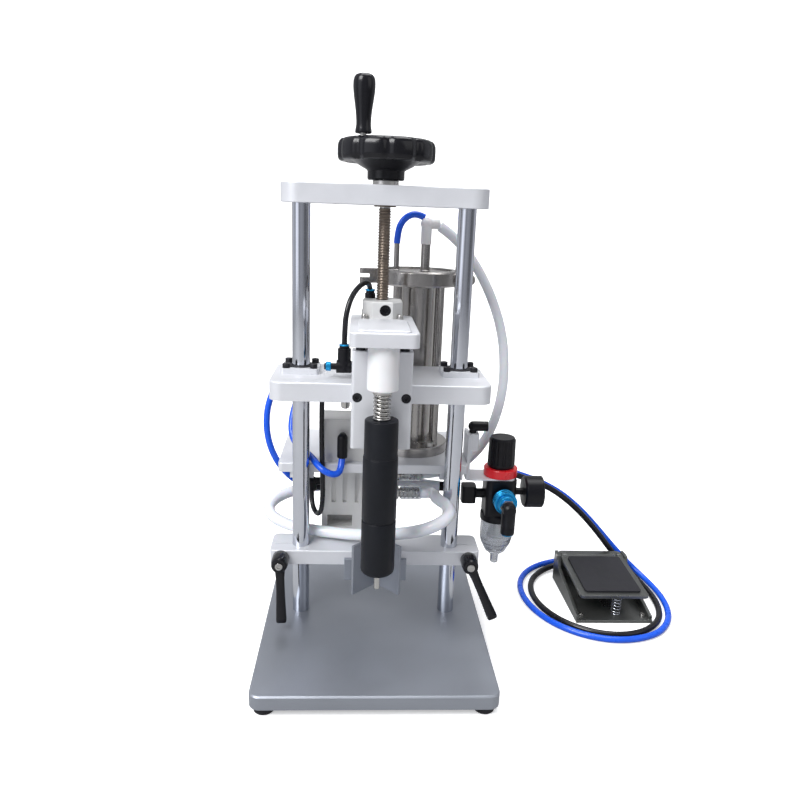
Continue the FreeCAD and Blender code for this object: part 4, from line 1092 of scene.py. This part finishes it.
# ---------------------------------------------------------------- clamped table
@dataclass
class ClampLever:
    """A clamping lever: rounded hub, nickel screw and a leaning, flattened arm."""

    name: str
    body: str
    side: float
    lean: float
    hub_y: float = -20.3
    level: float = 103.5
    reach: float = 70.0

    def build(self, wardrobe: Wardrobe) -> None:
        """Make the lever.

        Args:
            wardrobe: The finishes.
        """
        hub = lathe("hub", [
            (0, 0), (8.6, 0), (9.6, 0.5), (10, 1.4), (10, 9), (9.9, 14), (9.6, 18), (9, 21.2), (8, 22.6),
            (6.6, 23),
            (5.2, 23), (4.9, 22.4), (0, 22.4)], (self.side, self.hub_y, self.level), (0, -1, 0), around=64)
        lean = math.radians(self.lean)
        way = Vector((math.sin(lean), -0.26, -math.cos(lean))).normalized()
        wide = Vector((math.cos(lean), 0, math.sin(lean)))
        thick = way.cross(wide)
        start = Vector((self.side, self.hub_y - 12.7, self.level))
        sections = []
        for share, half_wide, half_thick in (
                (0.0, 6.0, 7.4), (0.10, 6.0, 7.0), (0.17, 5.6, 6.0), (0.26, 5.0, 5.0), (0.45, 5.0, 4.5),
                (0.70, 5.5, 4.3), (0.93, 6.1, 4.3), (0.975, 6.0, 4.2), (0.995, 5.5, 3.7), (1.0, 4.9, 3.1)):
            sections.append(((start + way * self.reach * share) * MM, wide * half_wide * MM,
                             thick * half_thick * MM))
        arm = loft("arm", sections, power=3.2)
        lever = merged(f"{self.name}_shell", [hub, arm])
        wardrobe.hang(lever, self.body, "bakelite", self.name)
        cap = socket_screw(4.4, 1.8, 2.3)
        cap.data.transform(aimed((self.side, self.hub_y - 22.4, self.level), (0, -1, 0)))
        cap.name = f"{self.name}_screw"
        wardrobe.hang(cap, self.body, "steel")


# ---------------------------------------------------------------- dosing unit
@dataclass
class DosingUnit:
    """Valve block with its barbs, gasket, welds, hose ends and push-in collars."""

    barb_y: float = 45.0
    barb_levels: tuple[float, float] = (187.0, 162.0)
    vessel_x: float = 46.0
    vessel_y: float = 78.0

    def barbs(self, wardrobe: Wardrobe) -> None:
        """Make the two stepped barbs and the ends of the hoses over them.

        Args:
            wardrobe: The finishes.
        """
        profile = [(0, -1), (4.6, -1), (4.6, 0), (8, 0.2), (8.3, 0.8), (8.3, 4.2), (8, 4.8), (5.2, 5.2)]
        for step in range(5):
            start = 6 + 5.2 * step
            profile += [(5.3, start), (7.3, start + 0.5), (7.3, start + 1.2), (5.6, start + 4.6)]
        profile += [(5.3, 32.4), (4.8, 33), (3.4, 33), (3.4, 4), (0, 4)]
        made = [lathe("barb", profile, (24, self.barb_y, level), (1, 0, 0),
                      around=48) for level in self.barb_levels]
        wardrobe.hang(merged("hose_barbs", made), "frame", "steel")
        ends = [lathe("hose_end", [(7.6, 33.5), (8.2, 31), (8.4, 26), (8.4, 8.4), (8.1, 7.6), (7.4, 7.6),
                                   (7.4, 30), (6.9, 33.5)],
                      (24, self.barb_y, level), (1, 0, 0), around=48,
                      closed=True) for level in self.barb_levels]
        over = merged("hose_ends", ends)
        wardrobe.hang(over, "frame", "clear_hose")
        wardrobe.paint(over, "hose_over_barb")

    def build(self, wardrobe: Wardrobe, scatter: ScatterRecipe) -> None:
        """Make the unit's pieces.

        Args:
            wardrobe: The finishes.
            scatter: Recipe that repeats a part.
        """
        valve = block("valve_block", (-7, 34, 146), (24, 68, 201), 1.2)
        wardrobe.hang(valve, "frame", "pale_block", "dosing_valve")
        self.barbs(wardrobe)
        centre = (self.vessel_x, self.vessel_y, 0)
        gasket = lathe("lid_gasket", [(36, 428.2), (40.6, 428.2), (41, 428.7), (41, 429.3), (40.6, 429.8),
                                      (36, 429.8)], centre, around=96, closed=True)
        wardrobe.hang(gasket, "frame", "white_plastic")
        welds = merged("stub_welds", [
            lathe("weld", [(radius - 0.4, 437), (radius + 1.4, 437), (radius + 1.1, 437.8),
                           (radius + 0.2, 438.6),
                           (radius - 0.4, 438.8)], (across, self.vessel_y, 0), around=48, closed=True)
            for across, radius in ((18.0, 3.3), (53.0, 5.6))])
        wardrobe.hang(welds, "frame", "stainless")
        spots = [((self.vessel_x + 38 * math.cos(math.radians(turn)),
                   self.vessel_y + 38 * math.sin(math.radians(turn)),
                   224), (0, 0, 1)) for turn in (60, 120, 240, 300)]
        bolts = scatter.place("flange_bolts", hex_bolt(4.9, 5.8), spots, wardrobe.materials["steel"])
        wardrobe.hang(bolts, "frame", "steel")
        collar = lathe("collar", [(4.05, 0), (5.5, 0), (6, 0.3), (6, 1.2), (5.5, 1.7), (4.05, 1.7)],
                       around=40,
                       closed=True)
        spots = [((-42, 8, 222), (0, 0, -1)), ((-80, 40, 168), (0, 0, -1)), ((-77, 75, 158), (-1, 0, 0)),
                 ((144, 69, 176), (0, 1, 0)), ((160, 69, 176), (0, 1, 0)), ((-105, 68, 301), (-1, 0, 0)),
                 ((-97, 68, 294), (0, 0, -1))]
        rings = scatter.place("release_collars", collar, spots, wardrobe.materials["fitting_black"])
        wardrobe.hang(rings, "frame", "fitting_black")
        collar = lathe("collar", [(3.05, 0), (5.2, 0), (5.8, 0.3), (5.8, 1.2), (5.2, 1.7), (3.05, 1.7)],
                       around=40,
                       closed=True)
        spots = [((-40.5, -36, 363), (0, 0, 1)), ((-13.5, 13, 418), (0, 0, 1))]
        rings = scatter.place("head_collars", collar, spots, wardrobe.materials["valve_blue"])
        wardrobe.hang(rings, "carriage", "valve_blue")


# ---------------------------------------------------------------- air unit
@dataclass
class AirUnit:
    """Gauge, filter element, bowl collar and blue slide valve."""

    unit_x: float = 156.0
    unit_y: float = 40.0
    gauge_level: float = 168.0
    gauge_face: float = 208.6
    valve_x: float = 158.0
    valve_level: float = 166.0
    inlet_y: float = -15.0
    inlet_level: float = 135.0
    needle_angle: float = 140.0

    def gauge(self, wardrobe: Wardrobe, ring: RingRecipe) -> None:
        """Make the dial with its marks, needle and rim.

        Args:
            wardrobe: The finishes.
            ring: Recipe that repeats a part round an axis.
        """
        place = aimed((self.gauge_face, self.unit_y, self.gauge_level), (1, 0, 0))
        dial = lathe("gauge_dial", [(0, 0), (18, 0), (18, 0.5), (0, 0.5)], (self.gauge_face, self.unit_y,
                     self.gauge_level), (1, 0, 0), around=72)
        wardrobe.hang(dial, "frame", "white_plastic")
        mark = block("mark", (-2.0, -0.3, 0.5), (2.0, 0.3, 0.75), 0.05)
        marks = ring.grow("gauge_marks", {
            "Part": mark, "Count": 11, "Radius": 14.5 * MM, "Start": math.radians(-45),
            "Sweep": math.radians(27), "Material": wardrobe.materials["fitting_black"]}, place=place)
        bpy.data.objects.remove(mark)
        wardrobe.hang(marks, "frame", "fitting_black")
        needle = merged("gauge_needle", [
            loft("blade", [(Vector((0, -3, 1)) * MM, Vector((1.0, 0, 0)) * MM, Vector((0, 0, 0.2)) * MM),
                           (Vector((0, 13, 1)) * MM, Vector((0.3, 0, 0)) * MM, Vector((0, 0, 0.2)) * MM)], 8),
            lathe("cap", [(0, 0.5), (2, 0.5), (2, 1.2), (1.4, 1.5), (0, 1.5)], around=24)])
        needle.data.transform(place @ Matrix.Rotation(math.radians(self.needle_angle), 4, "Z"))
        wardrobe.hang(needle, "frame", "lock_red")
        rim = lathe("gauge_rim", [(18, 0.4), (18.3, 1.6), (19.2, 2), (20, 1.4), (20, -0.6), (19.4, -0.6),
                                  (18, -0.2)],
                    (self.gauge_face, self.unit_y, self.gauge_level), (1, 0, 0), around=72, closed=True)
        wardrobe.hang(rim, "frame", "fitting_black")

    def slide_valve(self, wardrobe: Wardrobe) -> None:
        """Make the blue spool, its ring and the black push-in elbow.

        Args:
            wardrobe: The finishes.
        """
        spool = lathe("valve_spool", [
            (0, 0), (8.4, 0), (8.4, 4), (9.4, 4.4), (10.95, 4.8), (10.95, 24), (10.4, 25), (8.2, 25.4),
            (8, 29), (7.2, 30), (0, 30)], (self.valve_x, 21, self.valve_level), (0, -1, 0), around=64)
        wardrobe.hang(spool, "frame", "valve_blue", "slide_valve")
        sleeve = lathe("slide_ring_shell", [
            (11.05, 0), (13.2, 0), (14, 0.5), (14.2, 1.2), (14.2, 3.4), (13.4, 4), (13.4, 5), (14.2, 5.6),
            (14.2, 8.4), (13.4, 9), (13.4, 10), (14.2, 10.6), (14.2, 12.8), (14, 13.5), (13.2, 14),
            (11.05, 14)], (self.valve_x, 16, self.valve_level), (0, -1, 0), around=72, closed=True)
        wardrobe.hang(sleeve, "valve_ring", "valve_blue", "slide_ring")
        neck = lathe("neck", [(0, 0), (6.6, 0), (6.6, 8), (7.6, 9), (8.5, 12), (8.5, 17), (7.6, 21),
                              (5, 23.2),
                              (0, 23.8)], (self.valve_x, -8, self.valve_level), (0, -1, 0), around=48)
        neck.data.transform(Matrix.Translation((0, 0.008, 0)))
        barrel = lathe("barrel", [
            (4.1, 16), (4.1, 0), (7.4, 0), (8.3, 0.7), (8.4, 2), (8.4, 9), (8.0, 10), (8.4, 11), (8.4, 31),
            (7.6, 35),
            (5, 37.4), (0, 38.2), (0, 16)], (self.valve_x, self.inlet_y, self.inlet_level), around=56)
        elbow = merged("inlet_elbow", [neck, barrel])
        wardrobe.hang(elbow, "frame", "fitting_black")
        collar = lathe("inlet_collar", [(4.1, 0), (6.6, 0), (7, -0.4), (7, -1.2), (6.4, -1.6), (4.1, -1.6)],
                       (self.valve_x, self.inlet_y, self.inlet_level), around=48, closed=True)
        wardrobe.hang(collar, "frame", "valve_blue")
        nut = lathe("inlet_nut", [(7.4, 0), (9.6, 0), (9.6, 3), (7.4, 3)],
                    (self.valve_x, -8.6, self.valve_level), (0, -1, 0), around=6,
                    closed=True)
        wardrobe.hang(nut, "frame", "steel")

    def build(self, wardrobe: Wardrobe, ring: RingRecipe) -> None:
        """Make the unit's pieces.

        Args:
            wardrobe: The finishes.
            ring: Recipe that repeats a part round an axis.
        """
        centre = (self.unit_x, self.unit_y, 0)
        element = lathe("filter_element", [
            (0, 104), (4, 104), (4, 107), (11, 107), (11.6, 108), (11.6, 110), (9.6, 110.6), (9.6, 131),
            (10.6, 132), (13, 136), (13, 139.8), (0, 139.8)], centre, around=56)
        wardrobe.hang(element, "frame", "white_plastic")
        guard = lathe("bowl_collar", [(20.6, 131), (21.6, 131.4), (21.8, 139), (21.4, 140), (18.9, 140),
                                      (18.9, 139), (20.6, 139)], centre, around=72, closed=True)
        wardrobe.hang(guard, "frame", "fitting_black")
        self.gauge(wardrobe, ring)
        self.slide_valve(wardrobe)


# ---------------------------------------------------------------- foot pedal
@dataclass
class FootPedal:
    """Return spring, tray screws and hinge pin ends of the pedal."""

    spring_x: float = 320.0
    spring_y: float = 26.0
    spring_low: float = 4.0
    spring_high: float = 31.5
    pivot_y: float = 118.0
    pivot_z: float = 38.0
    coil_radius: float = 5.55
    coil_wire: float = 1.6
    coil_turns: float = 7.0
    screws_x: tuple = (272, 354)
    screws_y: tuple = (20, 108)
    pin_ends: tuple = ((263, -1), (363, 1))

    def build(self, wardrobe: Wardrobe, coil: CoilRecipe, scatter: ScatterRecipe) -> None:
        """Make the pedal's pieces.

        Args:
            wardrobe: The finishes.
            coil: Recipe for a spring.
            scatter: Recipe that repeats a part.
        """
        spring = coil.grow("pedal_coil", {
            "Radius": self.coil_radius * MM, "Wire": self.coil_wire * MM, "Turns": self.coil_turns,
            "Height": (self.spring_high - self.spring_low) * MM,
            "Material": wardrobe.materials["column_chrome"]},
            place=Matrix.Translation((self.spring_x * MM, self.spring_y * MM, self.spring_low * MM)),
            crease=80)
        wardrobe.hang(spring, "frame", "column_chrome", "pedal_spring")
        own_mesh(spring)
        spots = [((x, y, 4), (0, 0, 1)) for x in self.screws_x for y in self.screws_y]
        screws = scatter.place("tray_screws", socket_screw(3.2, 2.4, 1.6), spots, wardrobe.materials["steel"])
        wardrobe.hang(screws, "frame", "steel")
        ends = merged("hinge_pin_ends", [
            lathe("end", [(0, 0), (4.6, 0), (4.6, 0.8), (3.6, 1.4), (0, 1.6)],
                  (x, self.pivot_y, self.pivot_z), (way, 0, 0), around=32) for x, way in self.pin_ends])
        wardrobe.hang(ends, "frame", "steel")


def main() -> None:
    """Build the studio, then every sub-assembly in order."""
    logging.basicConfig(level=logging.INFO, format="%(name)s: %(message)s")
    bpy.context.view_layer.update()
    Studio().build()
    wardrobe = Wardrobe(FINISHES)
    wardrobe.dress_frame()
    Plumbing().build(wardrobe)
    scatter, ring, coil = ScatterRecipe(), RingRecipe(), CoilRecipe()
    ScrewDrive().build(wardrobe)
    Carriage().build(wardrobe, scatter)
    PressHead().build(wardrobe, coil)
    ClampLever("clamp_lever_left", "lever_left", -112.0, 3.0).build(wardrobe)
    ClampLever("clamp_lever_right", "lever_right", 112.0, 25.0).build(wardrobe)
    DosingUnit().build(wardrobe, scatter)
    AirUnit().build(wardrobe, ring)
    FootPedal().build(wardrobe, coil, scatter)
    log.info("the machine is built")


if __name__ == "__main__":
    main()
